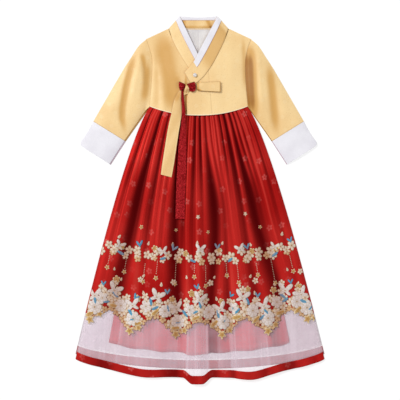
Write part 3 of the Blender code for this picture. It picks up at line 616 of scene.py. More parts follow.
@dataclass(frozen=True)
class Pearl(Finish):
    """A pearl button: a soft gloss over a faint cloudy tint."""

    name: str = "pearl"
    light: str = "#f0ece4"
    deep: str = "#cfc8c6"

    def paint(self, board: Board) -> None:
        """Lays clouds over the light tone."""
        clouds = board.noise(board.node("TexCoord", {})["Object"], 300.0)
        board.tone = self.light
        board.wash(self.deep, clouds, 0.3, 0.7)
        board.set(base_color=board.tone, roughness=board.between(clouds, 0.3, 0.7, (0.14, 0.24)))
        board.set(coat_weight=0.6, coat_roughness=0.08, specular_ior_level=0.6)


# ---- cloth
@dataclass(frozen=True)
class Cut:
    size: Pair
    held: Held
    rests_on: tuple[str, ...]
    area: float | None = None


@dataclass
class Panel:
    """One cloth piece: a grid bent to its upper face, then given its thickness."""

    name: str
    place: Place
    grid: Grid
    thickness: float
    slot: Slot
    nodes: tuple[str, ...]
    cut: Cut
    # fold: how deep in a fold each point lies, which the finishes paint as shade
    fold: Height | None = None
    seams: str = ""  # the sides that end in a seam, out of "left", "right", "low" and "high"
    seam_reach: float = 0.0022
    flat: Plan | None = None
    soft_edge: float = 0.0
    marks: Height | None = None  # lines pressed into it, besides its seams
    lets_light: bool = False  # so open a cloth that it leaves no shadow


def make_grid(name: str, columns: int, rows: int) -> tuple[bpy.types.Mesh, Array, Array]:
    """A flat grid mesh.

    Args:
        name: the mesh's name.
        columns: its squares across.
        rows: its squares up.

    Returns:
        The mesh, and each point's shares across and up.
    """
    mesh = bpy.data.meshes.new(name)
    cloth = bmesh.new()
    bmesh.ops.create_grid(cloth, x_segments=columns, y_segments=rows, size=0.5)
    cloth.to_mesh(mesh)
    cloth.free()
    points = np.empty(len(mesh.vertices) * 3)
    mesh.vertices.foreach_get("co", points)
    points = points.reshape(-1, 3)
    return mesh, points[:, 0] + 0.5, points[:, 1] + 0.5


def in_rows(s: Array, t: Array, grid: Grid) -> tuple[Array, Grid]:
    """The order that puts a grid's points row by row, and how many rows and columns they fill."""
    return np.lexsort((np.round(s * grid[0]), np.round(t * grid[1]))), (grid[1] + 1, grid[0] + 1)


def run_along(steps: Array, axis: int) -> Array:
    """The way along a grid from its first row or column, from the lengths of its steps."""
    return np.insert(np.cumsum(steps, axis), 0, 0.0, axis=axis)


def set_points(mesh: bpy.types.Mesh, x: Array, y: Array, z: Array) -> None:
    """Moves a mesh's points, and turns its faces up if they look down."""
    mesh.vertices.foreach_set("co", np.column_stack((x, y, z)).ravel())
    mesh.update()
    normals = np.empty(len(mesh.polygons) * 3)
    mesh.polygons.foreach_get("normal", normals)
    if normals.reshape(-1, 3)[:, 2].sum() < 0:
        mesh.flip_normals()


def set_flat(mesh: bpy.types.Mesh, across: Array, along: Array) -> None:
    """Gives each point its place on the flat cloth, as the mesh's UV map."""
    loops = np.empty(len(mesh.loops), np.int32)
    mesh.loops.foreach_get("vertex_index", loops)
    layer = mesh.uv_layers.new(name="UVMap")
    layer.uv.foreach_set("vector", np.column_stack((across[loops], along[loops])).ravel().astype(np.float32))


def set_number(mesh: bpy.types.Mesh, name: str, values: Array) -> None:
    """Gives each point a number that a finish reads."""
    attribute = mesh.attributes.new(name, "FLOAT", "POINT")
    attribute.data.foreach_set("value", np.asarray(values, np.float32))


class Workroom:
    """Holds the finishes, and turns panels into pieces that ride on the part."""

    def __init__(self) -> None:
        """Makes every finish once."""
        self.finishes = {
            Slot.GOLD: GoldSilk().material(),
            Slot.COTTON: WhiteCotton().material(),
            Slot.LINING: WhiteCotton("white_lining", "#e3dfdd", "#d1cccc", 0.0007, 0.6).material(),
            Slot.SATIN: RedSatin().material(),
            Slot.RIBBON: RedRibbon().material(),
            Slot.ORGANZA: Organza().material(),
            Slot.UNDERSKIRT: Lining().material(),
            Slot.PEARL: Pearl().material(),
        }

    def wear(
        self, name: str, mesh: bpy.types.Mesh, slot: Slot, nodes: Iterable[str] = (),
        finish: bpy.types.Material | None = None,
    ) -> bpy.types.Object:
        """Makes a mesh a piece of the part.

        Args:
            name: the piece's name.
            mesh: its mesh, in place.
            slot: the slot for its finish.
            nodes: the nodes of the part that it stands for.
            finish: its material, if it isn't the slot's own.

        Returns:
            The piece.
        """
        piece = bpy.data.objects.new(name, mesh)
        bpy.context.scene.collection.objects.link(piece)
        mesh.materials.append(finish or self.finishes[slot])
        mesh.shade_smooth()
        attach(piece, BODY)
        if nodes:
            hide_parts(*nodes)
        LOG.info("%s: %d faces", name, len(mesh.polygons))
        return piece

    def sew(self, *fields: object, **more: object) -> None:
        """Makes a panel of those fields."""
        panel = Panel(*fields, **more)
        mesh, s, t = make_grid(panel.name, *panel.grid)
        x, y, z = panel.place(s, t)
        set_points(mesh, x, y, z)
        set_flat(mesh, *(panel.flat(s, t).T if panel.flat else (x, y)))
        set_number(mesh, FOLD_SHADE, panel.fold(s, t) if panel.fold else np.zeros_like(s))
        marks = panel.marks(s, t) if panel.marks else np.zeros_like(s)
        set_number(mesh, SEAM, self.near_seam(panel, s, t, x, y) + marks)
        piece = self.wear(panel.name, mesh, panel.slot, panel.nodes)
        piece.visible_shadow = not panel.lets_light
        wall = piece.modifiers.new("thickness", "SOLIDIFY")
        wall.thickness, wall.offset = panel.thickness, -1.0
        if panel.soft_edge:
            edge = piece.modifiers.new("edge", "BEVEL")
            edge.width, edge.segments = panel.soft_edge, 2
            edge.limit_method, edge.angle_limit = "ANGLE", EDGE_ANGLE
        cut = panel.cut
        list(cut.rests_on)

    @staticmethod
    def near_seam(panel: Panel, s: Array, t: Array, x: Array, y: Array) -> Array:
        """1 on a panel's seams, fading out away from them."""
        order, shape = in_rows(s, t, panel.grid)
        points = np.column_stack((x, y))[order].reshape(*shape, 2)
        up, across = (run_along(np.linalg.norm(np.diff(points, axis=k), axis=2), k) for k in (0, 1))
        away = {"left": across, "right": across[:, -1:] - across, "low": up, "high": up[-1:] - up}
        near = np.zeros(shape)
        for side in panel.seams.split():
            near = np.maximum(near, bell(away[side], panel.seam_reach))
        made = np.empty(len(s))
        made[order] = near.ravel()
        return made


# ---- the jacket's form
MIDDLE = -0.0036  # X of the jacket's middle line: its own numbers are about that line
SHOULDER = (0.1365, 0.418)
NECK_SIDE = (0.077, 0.446)
NECK_TOP = (0.0493, 0.4774)
ARMHOLE = ((0.128, 0.243), (0.1235, 0.291), (0.1213, 0.332), (0.1217, 0.365), (0.128, 0.394), SHOULDER)


@dataclass(frozen=True)
class Crease:
    """A soft fold: where it runs, how far it reaches to either side, and its depth (up if negative)."""

    points: Track
    reach: float
    depth: float
    shade_gain: float = 1.0  # how much more painted shade it has than its depth alone would give

    def at(self, x: Array, y: Array) -> Array:
        """The share of its depth at places: it fades out towards both ends."""
        away, along = distance_to(self.points, x, y)
        return bell(away, self.reach) * ramp(-0.03, 0.3, along) * (1 - ramp(0.7, 1.03, along))


def mm(*points: Pair) -> list[Pair]:
    """Places given in millimetres, in metres."""
    return [(x / 1000, y / 1000) for x, y in points]


def creases(*rows: tuple) -> tuple[Crease, ...]:
    """Creases from rows in millimetres, each with its points, reach, depth and, if not 1, its painted shade
    gain.
    """
    return tuple(Crease(tuple(mm(*row[0])), row[1] / 1000, row[2] / 1000, *row[3:]) for row in rows)


def relief(folds: Iterable[Crease], x: Array, y: Array) -> Array:
    """How much higher the creases together lift the cloth."""
    return -sum((c.depth * c.at(x, y) for c in folds), start=np.zeros_like(x))


def shade_of(folds: Iterable[Crease], x: Array, y: Array) -> Array:
    """How deep in a crease places are, from 0 to 1."""
    deepest = np.zeros_like(x)
    for crease in folds:
        if crease.depth > 0:
            deepest = np.maximum(deepest, crease.at(x, y) * min(crease.shade_gain * crease.depth / 0.004, 1.0))
    return deepest


@dataclass(frozen=True)
class JacketForm:
    """The jacket's outline and heights, about its own middle line."""

    hem: float = 0.219
    hem_rise: float = 0.024
    hem_shape: float = 2.2
    chest: Pair = (0.0075, 0.0122)
    side: Pair = (0.0025, 0.0072)
    chest_shape: float = 4.0
    fold_height: float = 0.0025
    shoulder_round: float = 0.045
    lift: float = 0.0036
    lift_fades: Pair = (0.02, 0.105)
    collar_rise: float = 0.012
    # each crease: points, reach, depth and, if not 1, painted shade gain; rows with little depth and much
    # gain are mostly painted shade
    creases: tuple[Crease, ...] = creases(
        (((-114, 440), (-101, 400), (-90.5, 361), (-82, 328), (-70, 270), (-64, 215)), 13, 1.2, 1.1),
        (((-99, 460), (-88, 380), (-73, 310), (-66, 200)), 27, 0.4, 5.7),
        (((-115.5, 390), (-116, 300)), 5.5, -0.8),
        (((-107, 375), (-110, 215)), 11, 1, 1.1),
        (((-66, 340), (-58, 300), (-54, 235)), 15, 1, 2.4),
        (((-92, 285), (-90, 225)), 8, -1),
        (((-33, 335), (-32.5, 165)), 3.4, 0.2, 20),
        (((114, 440), (117.5, 385), (119, 335), (121, 270)), 7, 0.5, 2.6),
        (((82, 408), (86, 350), (83, 290)), 13, -1),
        (((52, 310), (66, 262), (70, 225)), 14, 0.6, 0.6),
        (((10, 280), (12, 222)), 14, 0.4, 1),
    )

    def shoulder_line(self, x: Array) -> Array:
        """Y of the fold between front and back: the collar's top, its side, the shoulder."""
        marks = (NECK_TOP, NECK_SIDE, SHOULDER)
        return np.interp(np.abs(x), [m[0] for m in marks], [m[1] for m in marks])

    def hem_line(self, x: Array) -> Array:
        """Y of the lower edge."""
        return self.hem + self.hem_rise * (np.abs(x) / ARMHOLE[0][0]) ** self.hem_shape

    def half(self, y: Array) -> Array:
        """The bodice's half width at a height."""
        return np.interp(y, [p[1] for p in ARMHOLE], [p[0] for p in ARMHOLE])

    def front(self, x: Array, y: Array) -> Array:
        """Upper face of the inner front."""
        down = (SHOULDER[1] - y) / (SHOULDER[1] - self.hem)
        middle = mix(*self.chest, ramp(0.0, 0.62, down))
        side = mix(*self.side, ramp(0.25, 1.0, down))
        flatness = 1 - np.minimum(np.abs(x) / self.half(y), 1.0) ** self.chest_shape
        rise = ramp(0.0, self.shoulder_round, self.shoulder_line(x) - y)
        plain = self.fold_height + rise * (mix(side, middle, flatness) - self.fold_height)
        return plain + rise * relief(self.creases, x, y)

    def outer(self, x: Array, y: Array) -> Array:
        """Upper face of the outer front."""
        across = 1 - ramp(*self.lift_fades, x)
        return self.front(x, y) + self.lift * across * ramp(0.0, 0.03, self.shoulder_line(x) - y)

    def collar(self, height: Height) -> Height:
        """Upper face of a collar on that front, and at the neck on the back collar."""
        on_back = 2 * COLLAR_CLOTH + GAP - self.fold_height
        on_front = LOOSE + COLLAR_CLOTH
        return lambda x, y: height(x, y) + mix(
            on_back, on_front, ramp(0.0, self.collar_rise, self.shoulder_line(x) - y)
        )

    def shade(self, x: Array, y: Array) -> Array:
        """How deep in a fold places are."""
        return shade_of(self.creases, x, y)


def lay(plan: Plan, height: Height) -> Place:
    """A plan about the jacket's middle line and a height above it, as one place."""

    def at(s: Array, t: Array) -> Points:
        """The places in the frame."""
        x, y = plan(s, t).T
        return x + MIDDLE, y, height(x, y)

    return at


def at_level(level: float) -> Callable[..., Array]:
    """A level that is the same everywhere."""
    return lambda x, *_: np.full_like(x, level)


@dataclass
class Bodice:
    """The jacket's back, its lining in the neck, and its three front pieces."""

    room: Workroom
    form: JacketForm = field(default_factory=JacketForm)
    tuck_under: float = 0.012
    overlap_edge: float = -0.03
    gore_top: Pair = (0.0244, 0.345)
    gore_low: float = 0.0348
    gore_seam: float = 0.0014  # how far the gore goes past the outer front's edge
    inner_edge: Track = ((0.012, 0.27), (0.002, 0.315), (-0.02, 0.347), (-0.047, 0.3895), (-0.0695, 0.4205))
    outer_edge: Track = ((0.0475, 0.3895), (0.069, 0.4215))

    def hem(self, start: float, end: float, shorter: float = 0.0) -> Line:
        """The lower edge between two places."""

        def at(s: Array) -> Array:
            """The places along it."""
            x = mix(start, end, s)
            return np.column_stack((x, self.form.hem_line(x) + shorter))

        return at

    def on_hem(self, x: float) -> Pair:
        """The place on the lower edge at that X."""
        return x, float(self.form.hem_line(np.array(x)))

    def top(self, s: Array) -> Array:
        """The back's upper edge: the shoulders, and straight across below the collar."""
        x = mix(-SHOULDER[0], SHOULDER[0], s)
        return np.column_stack((x, np.minimum(NECK_SIDE[1] - GAP, self.form.shoulder_line(x))))

    def make_back(self) -> None:
        """The back, flat on the surface."""
        side = ARMHOLE[0][0]
        back = patch(
            self.hem(-side, side, 0.004), self.top, smooth_line(mirrored(ARMHOLE)), smooth_line(ARMHOLE)
        )
        self.room.sew(
            "jacket_back_cloth", lay(back, at_level(BACK_CLOTH)), (48, 40), LOWER_CLOTH, Slot.GOLD,
            ("jacket_back",), Cut((0.273, 0.227), Held.LAID, SURFACE, 0.052),
        )

    def make_lining(self) -> None:
        """The white lining in the neck, a little higher along the collar, with a seam down its middle."""
        low, high = (0.04, 0.335), (0.058, 0.4432)
        seam, reach = 0.0005, 0.0009
        left_edge = mirrored([NECK_TOP]) + [(-0.0452, 0.469), (-0.002, 0.379), (0.006, 0.362)]
        right_edge = [NECK_TOP, (0.0452, 0.469), (-0.002, 0.379)]
        lining = trapezium(low, high)

        def height(x: Array, y: Array) -> Array:
            """Its upper face, in soft waves."""
            sweep = 0.0005 * np.sin(34 * x + 9 * y) + 0.0004 * np.sin(21 * y - 60 * x)
            near = np.minimum(distance_to(left_edge, x, y)[0], distance_to(right_edge, x, y)[0])
            lift = 0.0034 * bell(near, 0.012) * ramp(high[1], 0.43, y)
            plain = 2 * BACK_CLOTH + GAP + 0.0005 + lift + sweep * ramp(low[1] + 0.001, 0.36, y)
            return plain - 0.0006 * bell(x - seam, 0.0012)

        def shade(s: Array, t: Array) -> Array:
            """The seam, the edge below the collar's back and the side next to the inner front."""
            x, y = lining(s, t).T
            corner = ramp(0.012, 0.0, high[1] - y) * 0.35
            beside = 0.6 * bell(distance_to(left_edge, x, y)[0], 0.006)
            return np.maximum(bell(x - seam, reach) * 0.6, np.maximum(corner, beside))

        self.room.sew(
            "neck_lining", lay(lining, height), (64, 60), LINING_CLOTH, Slot.LINING, ("back_lining",),
            Cut((0.116, 0.108), Held.LAID, ("jacket_back_cloth",), 0.0106), fold=shade,
        )

    def make_fronts(self) -> None:
        """The inner front, and the outer front with its gore over it."""
        form = self.form
        neck_x = NECK_SIDE[0] + 0.0015
        shoulder = (neck_x, float(form.shoulder_line(np.array(neck_x))) - GAP)
        low, tuck_low = self.on_hem(self.gore_low), self.on_hem(self.tuck_under)
        inner = patch(
            self.hem(-ARMHOLE[0][0], self.tuck_under),
            straight(*mirrored([SHOULDER, shoulder])),
            smooth_line(mirrored(ARMHOLE)),
            smooth_line([tuck_low, *self.inner_edge, *mirrored([shoulder])]),
        )
        neck_edge = smooth_line([self.gore_top, *self.outer_edge, shoulder])
        outer = patch(
            self.hem(low[0], ARMHOLE[0][0]),
            straight(shoulder, SHOULDER),
            chain(straight(low, self.gore_top), neck_edge, 0.5),
            smooth_line(ARMHOLE),
        )
        (low_x, low_y), (top_x, top_y) = low, self.gore_top
        left_low, left_high = self.on_hem(self.overlap_edge), (-0.0225, 0.3035)
        gore = patch(
            self.hem(self.overlap_edge, low_x + self.gore_seam),
            straight(left_high, (top_x + self.gore_seam, top_y)),
            smooth_line([left_low, (-0.0295, 0.262), left_high]),
            straight((low_x + self.gore_seam, low_y), (top_x + self.gore_seam, top_y)),
        )
        self.sew_front("inner", inner, form.front, (110, 100), (0.141, 0.199), 0.0226, "left")
        self.sew_front("outer", outer, form.outer, (90, 100), (0.112, 0.199), 0.0182, "left right")
        self.sew_front("gore", gore, form.outer, (60, 80), (0.065, 0.126), 0.0066, "right")

    def sew_front(
        self, name: str, plan: Plan, height: Height, grid: Grid, size: Pair, area: float, seams: str
    ) -> None:
        """Makes one front piece, its seams drawn in a little below its face.

        Args:
            name: which front it is.
            plan: its outline.
            height: its upper face.
            grid: its squares across and up.
            size: its cut.
            area: the cut's area.
            seams: its sides that end in a seam.
        """
        gore = name == "gore"

        def drawn_in(s: Array, t: Array) -> Points:
            """The face, lower along its seams."""
            x, y = plan(s, t).T
            z = height(x, y)
            for side, away in (("left", s * np.ptp(x)), ("right", (1 - s) * np.ptp(x))):
                if side in seams:
                    z = z - (0.0007 if gore else 0.0004) * bell(away, 0.002)
            return x + MIDDLE, y, z

        def shade(s: Array, t: Array) -> Array:
            """Its creases, but for the gore's very edge."""
            return self.form.shade(*plan(s, t).T) * (ramp(0.0, 0.0012, s * size[0]) if gore else 1.0)

        def turned(s: Array, t: Array) -> Array:
            """The turned edge along its hem."""
            x, y = plan(s, t).T
            return -bell(y - self.form.hem_line(x), 0.0026)

        on = ("jacket_back_cloth", "skirt_satin") if name == "inner" else ("front_inner_cloth",)
        self.room.sew(
            f"front_{name}_cloth", drawn_in, grid, JACKET_CLOTH, Slot.GOLD, (f"front_{name}",),
            Cut(size, Held.LAID, on, area), shade, seams, 0.0011, soft_edge=0.0004, marks=turned,
        )


@dataclass
class Collar:
    """The collar band in its three stretches, and the white strip along each."""

    room: Workroom
    form: JacketForm = field(default_factory=JacketForm)
    strip_share: float = 0.36
    strip_end: float = 0.79
    inner_end: float = 0.98
    back_seam: float = 0.467
    inner_edges: tuple[Track, Track] = (  # at the neck, and along the seam
        ((-0.0493, 0.4774), (-0.0452, 0.469), (-0.002, 0.379), (0.006, 0.362)),
        ((-0.077, 0.446), (-0.0689, 0.4176), (-0.0528, 0.385), (-0.0265, 0.3422), (-0.015, 0.325)),
    )
    outer_edges: tuple[Track, Track] = (
        (NECK_TOP, (0.0452, 0.469), (-0.002, 0.379), (-0.0122, 0.359), (-0.0364, 0.3294)),
        (NECK_SIDE, (0.0684, 0.4176), (0.0536, 0.385), (0.0309, 0.3435), (0.007, 0.313), (-0.017, 0.295)),
    )

    @staticmethod
    def band(neck: Iterable[Pair], seam: Iterable[Pair]) -> Plan:
        """The band between its edge at the neck and its seam: s runs down, t from neck to seam."""
        upper, lower = smooth_line(list(neck)), smooth_line(list(seam))
        return lambda s, t: mix(upper(s), lower(s), t[:, None])

    def make_fronts(self) -> None:
        """Both front stretches and their strips."""
        form = self.form
        inner, outer = self.band(*self.inner_edges), self.band(*self.outer_edges)
        self.make_front("inner", inner, form.collar(form.front), self.inner_end, (0.045, 0.15), 0.0056)
        self.make_front("outer", outer, form.collar(form.outer), self.strip_end, (0.046, 0.205), 0.0073)

    def make_front(self, name: str, plan: Plan, height: Height, end: float, size: Pair, area: float) -> None:
        """Makes one stretch of the band, and its strip.

        Args:
            name: which one it is.
            plan: its outline.
            height: its upper face.
            end: the share of its length at which the strip ends.
            size: its cut.
            area: the cut's area.
        """
        outer = name == "outer"

        def drawn_in(s: Array, t: Array) -> Points:
            """Its upper face, lower along the seam."""
            x, y, z = lay(plan, height)(s, t)
            return x, y, z - 0.0009 * bell((1 - t) * 0.045, 0.0022) * ramp(0.02, 0.1, s)

        def shade(s: Array, _: Array) -> Array:
            """Its darker middle stretch."""
            return 0.36 * ramp(0.02, 0.1, s) * (1 - ramp(0.55, 0.82, s))

        self.room.sew(
            f"{name}_collar_cloth", drawn_in, (90, 24), COLLAR_CLOTH, Slot.GOLD, (f"collar_{name}",),
            Cut(size, Held.LAID, (f"front_{name}_cloth", "back_collar_cloth"), area),
            shade if outer else None, "high right" if outer else "high", 0.001, soft_edge=0.0005,
            flat=lambda s, t: np.column_stack((t * 0.04 + 0.3, s * 0.18 + 0.2)),
        )
        strip = lay(
            lambda s, t: plan(s * end, t * self.strip_share), lambda x, y: height(x, y) + STRIP_CLOTH + GAP
        )
        self.room.sew(
            f"{name}_strip_cloth", strip, (90, 10), STRIP_CLOTH, Slot.COTTON, (f"collar_strip_{name}",),
            Cut((0.014, size[1] * end), Held.LAID, (f"{name}_collar_cloth",)),
            seams="high", seam_reach=0.0006, soft_edge=0.0004,
        )

    def make_back(self) -> None:
        """The back of the neck: a gold band and the edge of the white strip."""
        lean = (NECK_TOP[0] - NECK_SIDE[0]) / (NECK_TOP[1] - NECK_SIDE[1])
        levels = (NECK_SIDE[1] + GAP, self.back_seam, self.back_seam + GAP, NECK_TOP[1])
        low, seam, strip_low, top = ((NECK_SIDE[0] - GAP + lean * (y - NECK_SIDE[1]), y) for y in levels)
        band = trapezium(low, seam)

        def height(x: Array, y: Array) -> Array:
            """The band's upper face, with a slight ripple in its middle."""
            ripple = 0.0003 * np.sin(130 * x + 40 * y) * ramp(low[1], low[1] + 0.006, y)
            return COLLAR_CLOTH + 0.0002 + ripple * ramp(0.06, 0.045, np.abs(x))

        def shade(s: Array, t: Array) -> Array:
            """Soft waves, its lower edge, and a crease at each end."""
            x, y = band(s, t).T
            up = y - low[1]
            soft = 0.2 + 0.1 * np.sin(150 * x - 60 * y) + 0.5 * ramp(0.006, 0.0, np.abs(up - 0.003))
            ends = 0.7 * bell(x + 0.041, 0.007) + 0.5 * bell(x - 0.033 + 0.5 * up, 0.005)
            return np.clip(soft * 0.6 + ends, 0, 1)

        self.room.sew(
            "back_collar_cloth", lay(band, height), (80, 14), COLLAR_CLOTH, Slot.GOLD, ("collar_back",),
            Cut((0.15, 0.0211), Held.LAID, SURFACE, 0.0028), shade, "low high", 0.0008,
        )
        low_left, top_left = mirrored([strip_low, top])
        strip = patch(
            straight(low_left, strip_low),
            smooth_line([top_left, (0.0, top[1] - 0.0032), top]),
            straight(low_left, top_left),
            straight(strip_low, top),
        )
        self.room.sew(
            "back_strip_cloth", lay(strip, at_level(COLLAR_CLOTH + 0.0004)), (80, 6), STRIP_CLOTH,
            Slot.COTTON, ("collar_strip_back",), Cut((0.115, 0.0105), Held.LAID, SURFACE, 0.001),
            seams="low", seam_reach=0.0006, soft_edge=0.0003,
        )


@dataclass
class Sleeves:
    """Both sleeves and both white cuffs, each an upper and a lower layer."""

    room: Workroom
    form: JacketForm = field(default_factory=JacketForm)
    cuff_seam: Track = ((0.1901, 0.1524), (0.2732, 0.2041))
    cuff_end: Track = (
        (0.2291, 0.092), (0.268, 0.1169), (0.2985, 0.1364), (0.306, 0.143), (0.3062, 0.151),
    )
    sleeve_size: Pair = (0.158, 0.27)
    sleeve_area: float = 0.0215
    cuff_size: Pair = (0.072, 0.098)
    cuff_area: float = 0.0069
    crown: Pair = (0.0098, 0.0052)
    peep: Pair = (0.0026, 0.0017)  # how far the lower layer shows past the upper one
    tuck: float = 0.0016  # how far its top edge goes in under the bodice
    # each crease as in the jacket's table: points, reach, depth and, if not 1, painted shade gain
    right_creases: tuple[Crease, ...] = creases(
        (((149, 388), (142, 360), (134.5, 322)), 7.5, 1.8, 1.1),
        (((136, 372), (134.5, 330), (137, 290), (144, 240)), 11.5, 2.8, 0.76),
        (((140.4, 375), (125, 338)), 5, -0.8),
        (((152, 375), (163.6, 312), (174, 245)), 9, -1.8),
        (((159, 402), (178, 336), (187, 299), (197.6, 239), (198, 212), (192.5, 185), (187, 166),
          (183, 155)), 9.8, 2.8, 0.9),
        (((214, 290), (226, 240), (228, 205)), 12, -1.2),
    )
    left_creases: tuple[Crease, ...] = creases(
        (((131, 420), (134.5, 345), (136.5, 285), (139.5, 235), (142, 190)), 14, 3, 1.4),
        (((123, 425), (124, 345), (127, 285), (132, 230), (138, 190)), 12, 0.6, 7.2),
        (((156, 385), (160, 294), (166, 225)), 8, -1.8),
        (((180, 372), (190, 290), (195.5, 234), (200, 190), (207, 155)), 12.5, 2.6, 0.85),
        (((212, 290), (224, 236), (232, 205)), 12, -1.4),
        (((150, 225), (170, 196), (186, 160)), 11, 1.2, 0.4),
    )

    def sleeve_plan(self) -> Plan:
        """A sleeve's outline, on the wearer's left."""
        start = [(x - self.tuck, y) for x, y in ARMHOLE]
        return patch(
            straight(start[0], self.cuff_seam[0]),
            smooth_line([start[-1], (0.1547, 0.4007), (0.1755, 0.3695), (0.1955, 0.3383), self.cuff_seam[1]]),
            smooth_line(start),
            straight(*self.cuff_seam),
        )

    def cuff_plan(self) -> Plan:
        """A cuff's outline, clear of the sleeve by a gap."""
        away = np.array((0.48 * GAP, -0.88 * GAP))
        low, high = (np.array(p) + away for p in self.cuff_seam)
        return patch(
            straight(low, self.cuff_end[0]),
            smooth_line([high, (0.29, 0.1738), self.cuff_end[-1]]),
            straight(low, high),
            smooth_line(self.cuff_end),
        )

    def sleeve_height(self, s: Array, t: Array, x: Array, y: Array, creases: Iterable[Crease]) -> Array:
        """Upper face of a sleeve's front layer."""
        round_over = 1 - np.abs(2 * t - 1) ** 3
        free = self.form.fold_height + mix(*self.crown, ramp(0.3, 1.0, s)) * round_over
        free = free + relief(creases, x, y) * round_over * ramp(0.0, 0.06, s)
        bodice = self.form.front(*smooth_line(ARMHOLE)(t).T)
        joined = np.maximum(mix(bodice, free, ramp(0.0, 0.2, s)), BACK_CLOTH + JACKET_CLOTH + 2 * GAP)
        return joined - 0.001 * bell(s * 0.12, 0.0026)

    def cuff_height(self, s: Array, t: Array, x: Array, y: Array) -> Array:
        """Upper face of a cuff's front layer."""
        crown = mix(self.crown[1], 0.85 * self.crown[1], s)
        sweep = 0.0005 * np.sin(90 * (x - y)) * ramp(0.0, 0.2, s)
        return self.form.fold_height + (crown + sweep) * (1 - np.abs(2 * t - 1) ** 3)

    def make(self) -> None:
        """All eight pieces."""
        self.make_side(-1, "right", self.right_creases)
        self.make_side(1, "left", self.left_creases)

    def make_side(self, side: int, name: str, folds: tuple[Crease, ...]) -> None:
        """One sleeve and its cuff, each an upper and a lower layer.

        Args:
            side: 1 for the wearer's left, -1 for the right.
            name: that side's name.
            folds: the sleeve's creases.
        """
        sleeve, cuff = self.sleeve_plan(), self.cuff_plan()

        def laid(plan: Plan, first: float, drawn: float, height: Callable[..., Array]) -> Place:
            """A layer's place: it is drawn in a little at its lower fold, so that the other shows past it."""

            def at(s: Array, t: Array) -> Points:
                """The places in the frame."""
                low = drawn * (1.0 if side < 0 else 0.5) * ramp(0.0, 0.15, s + first) * (1 - t) ** 8
                x, y = (plan(s, t) + low[:, None] * np.array(self.peep)).T
                return MIDDLE + side * (x + GAP), y, height(s, t, x, y)

            return at

        over = laid(sleeve, 0.0, 1.0, lambda *at: self.sleeve_height(*at, folds))
        self.room.sew(
            f"sleeve_{name}_over", over, (100, 90), JACKET_CLOTH, Slot.GOLD, (f"sleeve_{name}_front",),
            Cut(self.sleeve_size, Held.LAID, (f"sleeve_{name}_under",), self.sleeve_area),
            lambda s, t: shade_of(folds, *sleeve(s, t).T), "left right", 0.0011, soft_edge=0.0004,
        )
        # The lower layer's strip past the upper one has painted shade: darker towards its low edge, with the
        # seam colour along it.
        under = laid(sleeve, 0.0, -0.3, at_level(BACK_CLOTH))
        self.room.sew(
            f"sleeve_{name}_under", under, (40, 40), LOWER_CLOTH, Slot.GOLD, (f"sleeve_{name}_back",),
            Cut(self.sleeve_size, Held.LAID, SURFACE, self.sleeve_area),
            lambda s, t: 0.78 * (1 - t) ** 4, "low", 0.0035,
        )
        over = laid(cuff, 1.0, 0.8, self.cuff_height)
        self.room.sew(
            f"cuff_{name}_over", over, (40, 60), JACKET_CLOTH, Slot.COTTON, (f"cuff_{name}_front",),
            Cut(self.cuff_size, Held.LAID, (f"cuff_{name}_under",), self.cuff_area), soft_edge=0.0003,
        )
        # The lower cuff's strip past the upper one has painted shade: the seam colour along its low edge.
        under = laid(cuff, 1.0, -0.3, at_level(BACK_CLOTH))
        self.room.sew(
            f"cuff_{name}_under", under, (20, 30), LOWER_CLOTH, Slot.COTTON, (f"cuff_{name}_back",),
            Cut(self.cuff_size, Held.LAID, SURFACE, self.cuff_area), seams="low", seam_reach=0.004,
        )


# ---- the skirt
@dataclass(frozen=True)
class Pleat:
    """A valley between two pleats, near the waist, at the knee and at the border.

    Its middle and its reaches to either side are shares of the skirt's width, and its depth is a
    share of the pleats' height.
    """

    at: Three
    left: Three
    right: Three
    depth: Three

    @staticmethod
    def down(values: Three, v: Array) -> Array:
        """A value that eases from the first to the last on the way down."""
        return mix(mix(values[0], values[1], ramp(0.12, 0.42, v)), values[2], ramp(0.42, 0.76, v))

    def share(self, u: Array, v: Array, wobble: float) -> Array:
        """The share of the pleats' height that is left at places."""
        away = u - self.down(self.at, v) - 0.0012 * np.sin(9.0 * v + wobble) * ramp(0.05, 0.3, v)
        reach = np.where(away < 0, self.down(self.left, v), self.down(self.right, v))
        reach = mix(0.6, 1.14, ramp(0.08, 0.44, v)) * reach
        return 1 - self.down(self.depth, v) * np.exp(-((np.abs(away) / reach) ** 2.4))


